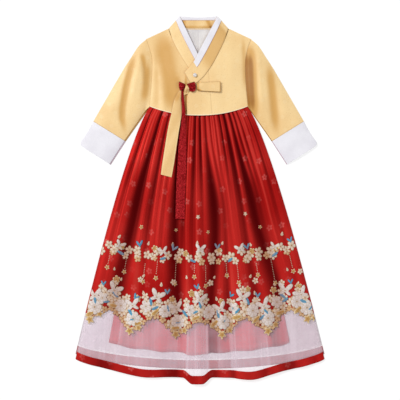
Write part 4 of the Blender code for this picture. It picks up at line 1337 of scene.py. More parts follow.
PLEATS = tuple(
    Pleat(*(tuple(n / 1000 for n in numbers) for numbers in row[:3]), tuple(n / 100 for n in row[3]))
    for row in (  # thousandths of the skirt's width, and hundredths of the depth
        ((46, 42, 42), (14, 20, 22), (6, 10, 12), (75, 38, 20)),
        ((150, 130, 114), (36, 44, 50), (12, 32, 42), (96, 95, 88)),
        ((222, 212, 235), (32, 25, 20), (10, 14, 18), (70, 70, 25)),
        ((262, 258, 270), (12, 14, 18), (6, 8, 12), (60, 32, 12)),
        ((300, 292, 300), (12, 14, 18), (6, 10, 12), (45, 40, 20)),
        ((345, 362, 398), (22, 38, 64), (12, 26, 24), (96, 96, 92)),
        ((410, 408, 425), (16, 18, 15), (8, 10, 10), (45, 68, 0)),
        ((470, 462, 472), (26, 22, 18), (10, 12, 12), (85, 58, 25)),
        ((512, 520, 525), (24, 20, 14), (10, 10, 10), (95, 46, 10)),
        ((558, 590, 552), (20, 44, 40), (14, 38, 32), (66, 95, 90)),
        ((600, 648, 633), (12, 14, 24), (8, 10, 12), (50, 50, 72)),
        ((645, 672, 690), (12, 16, 18), (6, 10, 12), (40, 35, 20)),
        ((692, 706, 715), (24, 14, 16), (10, 8, 12), (80, 20, 15)),
        ((742, 752, 762), (38, 28, 40), (14, 14, 20), (94, 70, 66)),
        ((793, 820, 872), (24, 34, 60), (14, 34, 20), (88, 95, 90)),
        ((832, 862, 898), (18, 14, 14), (9, 12, 12), (75, 50, 15)),
        ((872, 888, 920), (18, 14, 12), (8, 10, 10), (68, 40, 10)),
        ((918, 922, 935), (12, 12, 12), (6, 8, 8), (35, 18, 5)),
        ((955, 950, 956), (14, 20, 26), (6, 10, 12), (50, 48, 40)),
    )
)
GATHERS = tuple(0.02 + 0.0217 * i + 0.004 * math.sin(5.1 * i) for i in range(45))


@dataclass(frozen=True)
class UnderskirtForm:
    """The underskirt's outline: v runs down as a share of its own length."""

    halves: Pair = (0.088, 0.235)
    low_middle: float = -0.002
    hem: Pair = (-0.37, -0.3975)

    def half(self, v: Array) -> Array:
        """Its half width."""
        return mix(*self.halves, v**0.85)

    def middle(self, v: Array) -> Array:
        """X of its middle line."""
        return mix(MIDDLE, self.low_middle, v)


@dataclass(frozen=True)
class SkirtForm:
    """The skirt's outline and folds: u runs across from its left, v down from the waist."""

    waist: float = 0.283
    waist_half: float = 0.118
    hip: float = 0.2415
    hip_half: float = 0.1262
    hem_side: float = -0.413
    hem_half: float = 0.3235
    flare: float = 0.77
    waist_rise: Pair = (0.145, 0.213)
    sags: Pair = (0.006, 0.048)
    sag_shape: float = 0.8
    back_shorter: Pair = (0.013, 0.009)
    centre: Pair = (0.45, 0.53)
    centre_edge: float = 0.02
    centre_drop: float = 0.0166
    centre_lift: float = 0.003
    hem_folds: tuple[Three, ...] = ((0.27, 0.08, 0.0065), (0.715, 0.075, 0.012))
    band: float = 0.9725
    back_band: float = 0.967
    satin_end: float = 0.815
    scallops: int = 5
    scallop_depth: float = 0.026
    crest: Pair = (0.0082, 0.0178)
    hem_settles: float = 0.003
    valley: Pair = (0.006, 0.0068)
    side_fold: float = 0.0034
    side_shape: Pair = (4.0, 12.0)
    hem_fade: float = 0.45
    gather_depth: float = 0.27
    gather_reach: Pair = (0.004, 0.01)
    under: UnderskirtForm = UnderskirtForm()

    @property
    def length(self) -> float:
        """From waist to hem, along the side."""
        return self.waist - self.hem_side

    def half(self, y: Array) -> Array:
        """The half width at a height."""
        below = np.maximum((self.hip - y) / (self.hip - self.hem_side), 0)
        above = (y - self.hip) / (self.waist - self.hip)
        low, high = (self.hip_half, self.hem_half), (self.hip_half, self.waist_half)
        return np.where(y >= self.hip, mix(*high, above), mix(*low, below**self.flare))

    def across(self, u: Array, v: Array) -> Array:
        """X of places."""
        return mix(MIDDLE, 0.0, v) + (2 * u - 1) * self.half(mix(self.waist, self.hem_side, v))

    def sag(self, u: Array, v: Array) -> Array:
        """How much lower a level line lies than at its ends."""
        return mix(*self.sags, v) * np.maximum(4 * u * (1 - u), 0.0) ** self.sag_shape

    def centre_fold(self, u: Array) -> Array:
        """1 on the fold that lies uppermost, 0 beside it."""
        return plateau(*self.centre, self.centre_edge, u)

    def plan(self, u: Array, v: Array) -> tuple[Array, Array]:
        """X and Y of places on the front."""
        drop = self.centre_drop * self.centre_fold(u)
        for middle, reach, depth in self.hem_folds:
            drop = drop + depth * bell(u - middle, reach)
        return self.across(u, v), mix(self.waist, self.hem_side, v) - self.sag(u, v) - v**4 * drop

    def back_plan(self, u: Array, v: Array) -> tuple[Array, Array]:
        """The same for the back, which is a little shorter."""
        shorter = self.back_shorter[0] + self.back_shorter[1] * 4 * u * (1 - u)
        return self.across(u, v), mix(self.waist, self.hem_side, v) - self.sag(u, v) + shorter * v**2

    def waist_lift(self, y: Array) -> Array:
        """How much higher the skirt lies where the jacket's back is under it."""
        return (BACK_CLOTH + GAP) * ramp(*self.waist_rise, y)

    def profile(self, u: Array, v: Array) -> Array:
        """The share of the pleats' height at places: 0 down in a valley, 1 on a crest."""
        left = np.ones_like(u)
        for index, pleat in enumerate(PLEATS):
            left = left * pleat.share(u, v, 2.4 * index)
        for index, middle in enumerate(GATHERS):
            away = (u - middle - 0.004 * v) / mix(*self.gather_reach, v)
            away = np.where(away < 0, 0.7 * away, 1.8 * away)
            far = 0.14 + 0.6 * abs(math.sin(2.9 * index)) ** 1.5
            left = left * (1 - self.gather_depth * (1 - ramp(0.03, far, v)) * bell(away, 1.0))
        return left

    def height(self, u: Array, v: Array) -> Array:
        """Upper face of the front."""
        crest = mix(*self.crest, ramp(0.02, 0.5, v)) - self.hem_settles * ramp(0.75, 1.0, v)
        edge = np.abs(2 * u - 1) ** mix(*self.side_shape, ramp(0.05, 0.4, v))
        floor = mix(self.side_fold, mix(*self.valley, ramp(0.0, 0.2, v)), self.cover(u, v))
        top = mix(crest, self.side_fold, edge) + self.centre_lift * self.centre_fold(u) * ramp(0.45, 0.9, v)
        ripple = 0.00045 * np.sin(70 * u + 6 * v) * np.sin(11 * v + 9 * u) * (1 - edge)
        made = floor + np.maximum(top - floor, 0.0) * self.profile(u, v) + ripple
        return made + self.waist_lift(self.plan(u, v)[1])

    def fold(self, u: Array, v: Array) -> Array:
        """Painted shade: how deep in a fold places are, from 0 to 1, with more at the sides and on the hem
        band, and less lower down.
        """
        side = mix(0.3, 0.18, ramp(0.2, 0.5, v)) * bell(np.minimum(u, 1 - u), 0.05)
        band = 0.16 * ramp(self.band - 0.002, self.band + 0.002, v)
        shallow = 1 - 0.12 * ramp(0.3, 0.5, v) - 0.05 * ramp(0.5, 0.66, v)
        shallow = shallow * (1 - self.hem_fade * ramp(0.8, 0.97, v))
        return (1 - self.profile(u, v) * (1 - side)) * shallow + band

    def cover(self, u: Array, v: Array) -> Array:
        """1 where the underskirt lies below, 0 towards the sides."""
        x, y = self.plan(u, v)
        own = np.clip((self.waist - y) / (self.waist - self.under.hem[0]), 0.0, 1.0)
        away = np.abs(x - self.under.middle(own)) - self.under.half(own)
        return 1 - ramp(0.004, 0.022, away)

    def scallop(self, u: Array) -> Array:
        """The wavy line where the red cloth ends."""
        return self.satin_end + self.scallop_depth * np.cos(math.tau * self.scallops * u)

    def seat(self, x: Array, y: Array) -> tuple[Array, Array]:
        """The u and v of the places on the front that lie at X and Y, by stepping towards them."""
        u, v = np.full_like(x, 0.5), (self.waist - y) / self.length
        for _ in range(6):
            px, py = self.plan(u, v)
            u = u + (x - px) / (2 * self.half(mix(self.waist, self.hem_side, v)))
            v = v + (py - y) / self.length
        return u, v


@dataclass
class Underskirt:
    """The narrower red underskirt between the skirt's front and back, in two layers."""

    room: Workroom
    form: SkirtForm
    folds: tuple[tuple[float, float, float, float], ...] = (
        (0.555, 0.003, 0.075, 0.95), (0.69, 0.006, 0.02, 0.3), (0.905, 0.003, 0.06, 0.6),
        (0.475, 0.016, 0.016, 0.16), (0.25, 0.02, 0.02, 0.12), (0.075, 0.003, 0.012, 0.25),
        (0.82, 0.008, 0.03, 0.22), (0.33, 0.004, 0.03, 0.14),
    )  # where its painted fold shade lies from its left side, how far it reaches to either side, and how dark it is
    drops: Three = (0.425, 0.553, 0.005)  # from where to where its lower edge hangs lower, and how much

    def plan(self, u: Array, v: Array) -> Array:
        """Where its places lie."""
        own, bow = self.form.under, 4 * u * (1 - u)
        waist = self.form.waist - self.form.sags[0] * bow
        start, end, lower = self.drops
        ripple = 0.0016 * np.sin(38 * u) - lower * plateau(start, end, 0.01, u)
        y = mix(waist, mix(*own.hem, bow**0.8) + ripple * v**3, v)
        return np.column_stack((own.middle(v) + (2 * u - 1) * own.half(v), y))

    def fold(self, u: Array, _: Array) -> Array:
        """Painted shade: how deep in one of its folds places are."""
        deepest = np.zeros_like(u)
        for middle, left, right, depth in self.folds:
            deepest = np.maximum(deepest, depth * bell(u - middle, np.where(u < middle, left, right)))
        return deepest

    def make(self) -> None:
        """Both layers."""
        self.make_layer("back", 2 * (BACK_CLOTH + GAP), 0.0, "skirt_back_satin")
        self.make_layer("front", 3 * (BACK_CLOTH + GAP), 0.0004, "underskirt_back_cloth")

    def make_layer(self, name: str, level: float, wave: float, below: str) -> None:
        """Makes one layer at that level, with waves that high, on the cloth below."""

        def layer(s: Array, t: Array) -> Points:
            """Its upper face."""
            x, y = self.plan(s, 1 - t).T
            return x, y, level + wave * np.sin(46 * s) * (1 - t) + self.form.waist_lift(y)

        self.room.sew(
            f"underskirt_{name}_cloth", layer, (90, 60), THIN_CLOTH, Slot.UNDERSKIRT, (f"underskirt_{name}",),
            Cut((0.48, 0.66), Held.GATHERED, (below,), 0.24), self.fold,
        )


def down_between(start: Line, end: Line) -> Height:
    """How far down the skirt the places of a cloth between two lines lie."""
    return lambda s, t: mix(start(s), end(s), 1 - t)


@dataclass
class Skirt:
    """The gathered skirt: red satin, a sheer border and a red hem band, front and back."""

    room: Workroom
    form: SkirtForm = field(default_factory=SkirtForm)
    tuck: float = 0.018  # how far the sheer cloth goes up under the satin
    waistband_inset: float = 0.006
    waistband_height: float = 0.036
    waistband_top: float = 0.0088
    pressed_reach: float = 0.0032
    doubled_edge: float = 0.003
    pressed: Track = (  # the lines pressed into the sheer border, and how strong
        (0.157, 0.45), (0.3, 0.12), (0.446, 0.75), (0.478, 0.2), (0.492, 0.12), (0.504, 0.2), (0.531, 0.7),
        (0.628, 0.3), (0.712, 0.15), (0.786, 0.35),
    )
    doubled: tuple[Three, ...] = (  # from where to where it lies closer or more open
        (0.11, 0.153, -0.4), (0.405, 0.443, -0.55), (0.446, 0.531, 0.1), (0.506, 0.533, 0.45),
        (0.537, 0.575, -0.85), (0.575, 0.628, -0.35), (0.628, 0.653, 0.4), (0.747, 0.786, 0.2),
        (0.79, 0.862, -0.25),
    )

    def front(
        self, name: str, node: str, start: Line, end: Line, grid: Grid, thickness: float, slot: Slot,
        cut: Cut, lower: float = 0.0, seams: str = "",
    ) -> None:
        """Makes one piece of the pleated face.

        Args:
            name: the piece's name.
            node: the node that it stands for.
            start: where it starts, as a share of the skirt's length for each share across.
            end: where it ends.
            grid: its squares across and down.
            thickness: of its cloth.
            slot: its finish.
            lower: how far below the pleats' face it lies.
            seams: its sides that end in a seam.
        """
        form, down, sheer = self.form, down_between(start, end), slot is Slot.ORGANZA

        def upper(s: Array, t: Array) -> Points:
            """Its upper face."""
            v = down(s, t)
            x, y = form.plan(s, v)
            return x, y, form.height(s, v) - lower

        def fold(s: Array, t: Array) -> Array:
            """Painted shade: how deep in a fold places are, fainter in the sheer cloth, and soft where it
            lies alone, darker towards its right.
            """
            v = down(s, t)
            if not sheer:
                return form.fold(s, v)
            cover = form.cover(s, v)
            return 0.6 * form.fold(s, v) * cover + (1 - cover) * mix(0.06, 0.36, ramp(0.3, 0.9, s))

        def flat(s: Array, t: Array) -> Array:
            """The way over its folds, and down."""
            v = down(s, t)
            return np.column_stack((self.along(s, t, v, grid), v * form.length))

        self.room.sew(
            name, upper, grid, thickness, slot, (node,), cut, fold, seams, 0.001, flat,
            marks=(lambda s, t: self.marks(s, down(s, t))) if sheer else None, lets_light=sheer,
        )

    def marks(self, u: Array, v: Array) -> Array:
        """The lines pressed into the sheer border, and where it lies closer or more open."""
        lines = sum(share * bell(u - at, self.pressed_reach) for at, share in self.pressed)
        bands = sum(share * plateau(a, b, self.doubled_edge, u) for a, b, share in self.doubled)
        return lines * ramp(0.78, 0.82, v) + bands

    def along(self, u: Array, t: Array, v: Array, grid: Grid) -> Array:
        """How far along the cloth places are from its middle, over its folds."""
        order, rows = in_rows(u, t, grid)
        x, z = (made[order].reshape(rows) for made in (self.form.across(u, v), self.form.height(u, v)))
        run = run_along(np.hypot(np.diff(x, axis=1), np.diff(z, axis=1)), 1)
        made = np.empty(len(u))
        made[order] = (run - run[:, rows[1] // 2][:, None]).ravel()
        return made

    def make_front(self) -> None:
        """The satin down to its scallops, the sheer border below it and the hem band."""
        form, on = self.form, ("underskirt_front_cloth", "skirt_back_satin")
        self.front(
            "skirt_satin", "skirt_front", at_level(0.0), form.scallop, (330, 132), SATIN_CLOTH, Slot.SATIN,
            Cut((0.75, 0.59), Held.GATHERED, on, 0.28),
        )
        self.front(
            "sheer_cloth", "sheer_front", lambda u: form.scallop(u) - self.tuck, at_level(form.band + 0.002),
            (330, 60), SHEER_CLOTH, Slot.ORGANZA, Cut((0.75, 0.135), Held.GATHERED, on, 0.086),
            lower=SATIN_CLOTH + GAP,
        )
        self.front(
            "hem_band", "hem_band_front", at_level(form.band), at_level(1.0), (330, 8), SATIN_CLOTH,
            Slot.SATIN, Cut((0.74, 0.0192), Held.GATHERED, ("sheer_cloth", "hem_band_back_cloth")),
            seams="low high",
        )

    def back(self, name: str, node: str, start: Line, end: Line, grid: Grid, slot: Slot, cut: Cut) -> None:
        """Makes one piece of the back.

        Args:
            name: the piece's name.
            node: the node that it stands for.
            start: where it starts, as a share of the skirt's length for each share across.
            end: where it ends.
            grid: its squares across and down.
            slot: its finish.
        """
        form, down, sheer = self.form, down_between(start, end), slot is Slot.ORGANZA
        band = form.back_band - 0.001

        def upper(s: Array, t: Array) -> Points:
            """Its upper face: the sheer cloth rises over the hem band."""
            v = down(s, t)
            x, y = form.back_plan(s, v)
            over = (GAP + SHEER_CLOTH) * ramp(band - 0.011, band, v) * sheer
            return x, y, BACK_CLOTH + over + form.waist_lift(y)

        def fold(s: Array, _: Array) -> Array:
            """The sheer cloth's shade, deeper towards its left."""
            return mix(0.5, 0.75, ramp(0.5, 0.9, s))

        def marks(s: Array, t: Array) -> Array:
            """The sheer cloth's cover: closer above the hem band, and more open on it."""
            return 1.0 - 1.5 * ramp(band - 0.005, band, down(s, t))

        wall = SHEER_CLOTH if sheer else LOWER_CLOTH
        looks = {"fold": fold, "marks": marks} if sheer else {}
        self.room.sew(name, upper, grid, wall, slot, (node,), cut, **looks)

    def make_back(self) -> None:
        """The back in its three cloths, flat on the surface."""
        form, apart = self.form, 2 * GAP
        self.back(
            "skirt_back_satin", "skirt_back", at_level(0.0), form.scallop, (90, 60), Slot.SATIN,
            Cut((0.66, 0.59), Held.GATHERED, SURFACE, 0.27),
        )
        self.back(
            "sheer_back_cloth", "sheer_back", lambda u: form.scallop(u) + apart, at_level(1.0), (90, 24),
            Slot.ORGANZA, Cut((0.66, 0.14), Held.GATHERED, ("the surface", "hem_band_back_cloth"), 0.08),
        )
        self.back(
            "hem_band_back_cloth", "hem_band_back", at_level(form.back_band + apart), at_level(1.0), (120, 4),
            Slot.SATIN, Cut((0.66, 0.0225), Held.GATHERED, SURFACE),
        )

    def make_waistband(self) -> None:
        """The white band that the gathers are sewn to, in two layers hidden under the jacket."""
        low = 2 * BACK_CLOTH + GAP
        self.waistband("back", low, low)
        self.waistband("front", self.waistband_top, 4 * BACK_CLOTH + 2 * GAP)

    def waistband(self, name: str, middle: float, sides: float) -> None:
        """Makes one layer of it from its height in the middle and at its sides."""
        form = self.form

        def layer(s: Array, t: Array) -> Points:
            """Its upper face."""
            x = mix(-1.0, 1.0, s) * (form.waist_half - self.waistband_inset)
            drop = form.sags[0] * (4 * s * (1 - s)) ** form.sag_shape
            y = form.waist + 2 * GAP + t * self.waistband_height - drop * (1 - t)
            return x + MIDDLE, y, mix(middle, sides, np.abs(2 * s - 1) ** 4)

        self.room.sew(
            f"waistband_{name}_cloth", layer, (40, 8), LOWER_CLOTH, Slot.LINING, (f"waistband_{name}",),
            Cut((0.226, 0.04), Held.LAID, ("jacket_back_cloth",)), seams="low high", seam_reach=0.001,
        )


# ---- the embroidery
class Shape(Enum):
    """The outlines of the motifs, as functions of the direction from their middle."""

    BLOSSOM = "blossom"
    PEONY = "peony"
    BUD = "bud"
    DROP = "drop"
    LEAF = "leaf"
    TWIN = "twin leaf"
    STAR = "star"
    BUTTERFLY = "butterfly"

    def rim(self, angle: Array) -> Array:
        """How far out the outline lies, as a share of the motif's size."""
        if self is Shape.BLOSSOM:
            return 0.42 + 0.58 * np.abs(np.cos(2.5 * angle)) ** 0.55
        if self is Shape.PEONY:
            return 0.8 + 0.2 * np.abs(np.cos(4 * angle)) ** 0.6
        if self is Shape.DROP:
            return 0.52 + 0.48 * bell(angle, 0.42)
        if self is Shape.LEAF:
            return 0.34 / np.sqrt(1 - 0.884 * np.cos(angle) ** 2)
        if self is Shape.TWIN:
            return 0.14 + 0.86 * bell(np.abs(angle) - 0.55, 0.4)
        if self is Shape.STAR:
            return 0.48 + 0.52 * (1 - np.abs(np.mod(5 * angle / math.pi, 2) - 1)) ** 1.2
        if self is Shape.BUTTERFLY:
            away = np.abs(np.mod(angle - math.pi / 2 + math.pi, math.tau) - math.pi)
            upper = bell(away - 0.82, 0.48)
            return 0.16 + 0.84 * upper + 0.54 * bell(away - 2.15, 0.42)
        return np.ones_like(angle)


class Threads(Enum):
    """The embroidery's thread colours."""

    CREAM = Thread("cream_thread", "#e9d8c4", "#d3b694", "#b2845a", "#a06a3e")
    PEACH = Thread("peach_thread", "#ddb98f", "#c99a6a", "#a87340", "#98602c")
    WHITE = Thread("white_thread", "#e8dfda", "#d8ccc6", "#bda28a", "#b5966c", 0.93, 8.0, 3.0)
    BLUE = Thread("blue_thread", "#569fc0", "#357fa2", "#3b87ab", "#74b2cb", 0.92, 2.0)
    GOLD = Thread("gold_thread", "#c69a50", "#ad7c3c", "#ecdab6", "#aa7a3c", 0.74)


@dataclass(frozen=True)
class Motif:
    """One motif: its shape, its middle on the skirt, its size, how it is turned and how high it lies."""

    shape: Shape
    u: float
    v: float
    size: float
    turn: float
    layer: float


@dataclass
class Embroidery:
    """A border of blossoms, leaves, butterflies and clouds along the satin's scalloped edge."""

    room: Workroom
    form: SkirtForm
    small: float = 0.004  # below that size a motif is a plain dot
    draw: np.random.Generator = field(default_factory=lambda: np.random.default_rng(11))
    samples: Array = field(default_factory=lambda: np.linspace(0.0, 1.0, 2401))
    runs: dict[int, Array] = field(default_factory=dict)
    motifs: dict[Threads, list[Motif]] = field(default_factory=lambda: {thread: [] for thread in Threads})

    def run(self, v: float) -> Array:
        """The way along the folded cloth at each sampled place across, at that distance down."""
        key = round(v * 100)
        if key not in self.runs:
            level = np.full_like(self.samples, key / 100)
            x, z = self.form.across(self.samples, level), self.form.height(self.samples, level)
            self.runs[key] = run_along(np.hypot(np.diff(x), np.diff(z)), 0)
        return self.runs[key]

    def places(self, v: float, spacing: float, jitter: float, start: float = 0.5) -> list[float]:
        """Shares across, evenly spaced along the folded cloth.

        Args:
            v: how far down the row lies, about.
            spacing: the way from one to the next along the cloth.
            jitter: how far each may stray, as a share of the spacing.
            start: where the first lies, as a share of the spacing.

        Returns:
            The shares across.
        """
        run = self.run(v)
        count = max(int(round(run[-1] / spacing)), 1)
        stray = self.draw.uniform(-jitter, jitter, count)
        along = (np.arange(count) + start + stray) / count * run[-1]
        return list(np.interp(np.clip(along, 0.0, run[-1]), run, self.samples))

    def row(
        self, threads: Threads, shape: Shape, line: Line, spacing: float, size: float, layer: float,
        start: float = 0.5, jitter: float = 0.18, keep: float = 1.0, turn: float | None = None,
    ) -> None:
        """Sets a row of like motifs along a line down the skirt.

        Args:
            threads: their colour.
            shape: their outline.
            line: how far down they lie, for each share across.
            spacing: the way from one to the next along the cloth.
            size: about how large each is.
            layer: about how high each lies on the cloth.
            start: where the first lies, as a share of the spacing.
            jitter: how far each may stray, as a share of the spacing.
            keep: the share of them that is kept.
            turn: about how each is turned, or any way if None.
        """
        for u in self.places(float(line(np.array(0.5))), spacing, jitter, start):
            spin = self.draw.uniform(0, math.tau) if turn is None else turn + self.draw.uniform(-0.5, 0.5)
            grown = size * self.draw.uniform(0.86, 1.12)
            v = float(line(np.array(u))) + self.draw.uniform(-0.004, 0.004)
            if self.draw.uniform() < keep:
                height = layer + self.draw.uniform(0, 0.0002)
                self.motifs[threads].append(Motif(shape, u, v, grown, spin, height))

    def border(self) -> None:
        """The dense band along the scallops."""
        above, bloom = self.above_edge, Shape.BLOSSOM
        cream, peach, white, blue, gold = Threads
        self.row(peach, Shape.BUD, above(0.000), 0.0046, 0.0026, 0.0003, jitter=0.0)
        self.row(peach, bloom, above(0.007), 0.017, 0.01, 0.0004)
        self.row(cream, bloom, above(0.024), 0.02, 0.0124, 0.0009)
        self.row(peach, bloom, above(0.037), 0.024, 0.0108, 0.0006, start=0.1)
        self.row(cream, bloom, above(0.05), 0.022, 0.0118, 0.001, start=0.2)
        self.row(cream, bloom, above(0.074), 0.026, 0.0112, 0.0008, keep=0.88)
        self.row(cream, bloom, above(0.095), 0.037, 0.0102, 0.0006, keep=0.8)
        self.row(cream, Shape.DROP, above(0.113), 0.052, 0.0068, 0.0004, turn=1.4)
        self.row(gold, bloom, above(0.106), 0.072, 0.0092, 0.0005, start=0.8)
        self.row(gold, Shape.LEAF, above(0.014), 0.056, 0.015, 0.0013, start=0.3, turn=0.3)
        self.row(blue, Shape.TWIN, above(0.106), 0.076, 0.014, 0.0012, turn=1.4)
        self.row(blue, Shape.LEAF, above(0.058), 0.046, 0.0105, 0.0016, turn=2.2)
        self.row(blue, Shape.LEAF, above(0.034), 0.058, 0.0095, 0.0017, start=0.9, turn=0.6)
        for k in range(self.form.scallops + 1):
            low = min(max(k / self.form.scallops, 0.025), 0.975)
            self.single(white, Shape.PEONY, low + 0.004, -0.036, 0.019, 0.3, 0.0016)
            self.single(white, Shape.BUTTERFLY, low - 0.006, -0.08, 0.025, 0.3, 0.0018)
            self.single(gold, Shape.STAR, low - 0.004, 0.008, 0.0125, 0.3, 0.0014)
            self.single(gold, Shape.STAR, low + 0.032, 0.004, 0.01, 0.9, 0.0012)
            rise = (k + 0.5) / self.form.scallops
            if rise < 1.0:
                self.single(white, Shape.BUTTERFLY, rise, -0.068, 0.026, -0.3, 0.0019)
                self.single(white, Shape.PEONY, rise + 0.042, -0.04, 0.0165, 0.5, 0.0016)
                self.single(white, bloom, rise - 0.046, -0.056, 0.016, 0.9, 0.0016)

    def above_edge(self, offset: float) -> Line:
        """A line that far above the scalloped edge."""
        return lambda u: self.form.scallop(u) - offset

    def single(
        self, threads: Threads, shape: Shape, u: float, offset: float, size: float, turn: float, layer: float
    ) -> None:
        """Sets one motif at an offset from the scalloped edge."""
        v = float(self.form.scallop(np.array(u))) + offset
        self.motifs[threads].append(Motif(shape, u, v, size, turn, layer))

    def garland(self) -> None:
        """The lighter wreath above, with its hanging strings of dots."""
        bloom = Shape.BLOSSOM
        cream, peach, white, blue, gold = Threads

        def line(offset: float) -> Line:
            """The wreath's wavy line, moved down by an offset."""
            return lambda u: 0.572 + 0.008 * np.cos(math.tau * 9 * u) + offset

        self.row(cream, bloom, line(-0.004), 0.027, 0.012, 0.0008)
        self.row(cream, bloom, line(0.014), 0.033, 0.0104, 0.0005, start=0.0, keep=0.9)
        self.row(peach, bloom, line(0.024), 0.062, 0.0092, 0.0004)
        self.row(gold, bloom, line(-0.012), 0.09, 0.0088, 0.0012)
        self.row(cream, Shape.DROP, line(-0.038), 0.076, 0.0066, 0.0003, turn=1.4)
        self.row(blue, Shape.TWIN, line(-0.02), 0.105, 0.015, 0.0012, start=0.9, turn=1.4)
        self.row(blue, Shape.LEAF, line(0.01), 0.105, 0.0095, 0.0015, start=0.4, turn=0.1)
        self.row(white, Shape.BUTTERFLY, line(-0.014), 0.105, 0.0175, 0.0014, start=0.5, turn=0.0)
        for u in self.places(0.62, 0.043, 0.25):
            top = float(line(0.0)(np.array(u))) + 0.03
            length = self.draw.uniform(0.03, 0.08)
            for step in np.arange(0.0, length, 0.0062):
                self.motifs[cream].append(Motif(Shape.BUD, u, top + step, 0.0011, 0.0, 0.0002))
            self.motifs[gold].append(Motif(Shape.STAR, u, top + length + 0.01, 0.007, 0.3, 0.0004))
        self.row(cream, Shape.DROP, at_level(0.65), 0.09, 0.0062, 0.0003, turn=1.5)
        self.row(cream, bloom, at_level(0.668), 0.105, 0.0086, 0.0004, start=0.9)

    def sprinkle(self) -> None:
        """The few small stars on the plain red, each at its X and Y."""
        cream, gold = Threads.CREAM, Threads.GOLD
        for threads, x, y, size in (
            (gold, -0.152, -0.07, 0.0064), (cream, -0.005, -0.044, 0.0066), (cream, 0.117, -0.036, 0.0066),
            (gold, 0.156, -0.07, 0.0056), (gold, 0.021, -0.083, 0.0052), (gold, -0.062, -0.078, 0.005),
        ):
            u, v = self.form.seat(np.array([x]), np.array([y]))
            self.motifs[threads].append(Motif(Shape.STAR, float(u[0]), float(v[0]), size, 0.3, 0.0002))

    def make(self) -> None:
        """Every thread's motifs, as one piece each."""
        self.border()
        self.garland()
        self.sprinkle()
        for threads, motifs in self.motifs.items():
            name, finish = threads.name.lower(), threads.value.material()
            large = [motif for motif in motifs if motif.size >= self.small]
            small = [motif for motif in motifs if motif.size < self.small]
            if large:
                nodes = ("border_embroidery",) if threads is Threads.CREAM else ()
                sides, rings = (64, 5) if threads is Threads.WHITE else (40, 3)
                self.stitch(f"{name}_embroidery", large, sides, rings, nodes, finish)
            if small:
                self.stitch(f"{name}_small_stitches", small, 10, 2, (), finish)

    def stitch(
        self, name: str, motifs: list[Motif], sides: int, rings: int, nodes: tuple[str, ...],
        finish: bpy.types.Material,
    ) -> None:
        """Makes one piece of many motifs: a shallow pad for each, bent onto the folded cloth.

        Args:
            name: the piece's name.
            motifs: what it holds.
            sides: the corners of each pad.
            rings: the rings of faces on each pad.
            nodes: the nodes of the part that it stands for.
            finish: its material.
        """
        pad = self.make_pad(sides, rings)
        many = bmesh.new()
        for _ in motifs:
            many.from_mesh(pad)
        mesh = bpy.data.meshes.new(name)
        many.to_mesh(mesh)
        many.free()
        points = np.empty(len(pad.vertices) * 3)
        pad.vertices.foreach_get("co", points)
        x, y, z = points.reshape(-1, 3).T
        out, angle = np.hypot(x, y), np.arctan2(y, x)
        bpy.data.meshes.remove(pad)
        placed, folds = zip(*(self.bend(motif, out, angle, z < 0) for motif in motifs))
        mesh.vertices.foreach_set("co", np.concatenate(placed).ravel())
        mesh.update()
        set_flat(mesh, *np.tile((out, angle / math.tau), len(motifs)))
        set_number(mesh, FOLD_SHADE, np.concatenate(folds))
        self.room.wear(name, mesh, Slot.EMBROIDERY, nodes, finish)

    @staticmethod
    def make_pad(sides: int, rings: int) -> bpy.types.Mesh:
        """A flat round pad one metre in radius, with rings on its upper face."""
        mesh = bpy.data.meshes.new("pad")
        pad = bmesh.new()
        bmesh.ops.create_cone(pad, cap_ends=True, segments=sides, radius1=1.0, radius2=1.0, depth=0.2)
        top = max(pad.faces, key=lambda f: f.calc_center_median().z)
        for _ in range(rings - 1):
            bmesh.ops.inset_region(pad, faces=[top], thickness=0.92 / rings, use_even_offset=False)
        bmesh.ops.poke(pad, faces=[top])
        pad.to_mesh(mesh)
        pad.free()
        return mesh

    def bend(self, motif: Motif, out: Array, angle: Array, below: Array) -> tuple[Array, Array]:
        """Lays a pad's points on the folded cloth.

        Args:
            motif: which motif it is.
            out: each point's share of the way out.
            angle: its direction.
            below: true for the pad's underside.

        Returns:
            The points, and how deep in a fold each lies.
        """
        reach = motif.size * out * motif.shape.rim(angle)
        across = reach * np.cos(angle + motif.turn)
        down = -reach * np.sin(angle + motif.turn)
        run = self.run(motif.v)
        start = np.interp(motif.u, self.samples, run)
        u = np.interp(np.clip(start + across, 0.0, run[-1]), run, self.samples)
        v = motif.v + down / self.form.length
        swell = np.sqrt(np.clip(1 - out**2, 0.0, 1.0))
        lobes = {Shape.BLOSSOM: 2.5, Shape.BUTTERFLY: 2.0, Shape.PEONY: 4.0}.get(motif.shape)
        if lobes:
            wave = np.abs(np.sin(lobes * angle) if lobes == 2.0 else np.cos(lobes * angle)) ** 0.5
            swell = swell * (0.45 + 0.55 * wave * np.clip(out * 3, 0, 1) + 0.5 * np.clip(1 - out * 5, 0, 1))
        height = motif.layer + min(0.045 * motif.size + 0.0002, 0.0008) * swell + 0.0002
        x, y = self.form.plan(u, v)
        z = self.form.height(u, v) + np.where(below, -0.0002, height)
        return np.column_stack((x, y, z)), self.form.fold(u, v)


# ---- ties and button
@dataclass(frozen=True)
class Fan:
    """One of the knot's loops: its pinched end, its two outer corners and how far it sags."""

    name: str
    pinch: Pair
    high: Pair
    low: Pair
    sag: float
    area: float
    nodes: tuple[str, ...] = ()


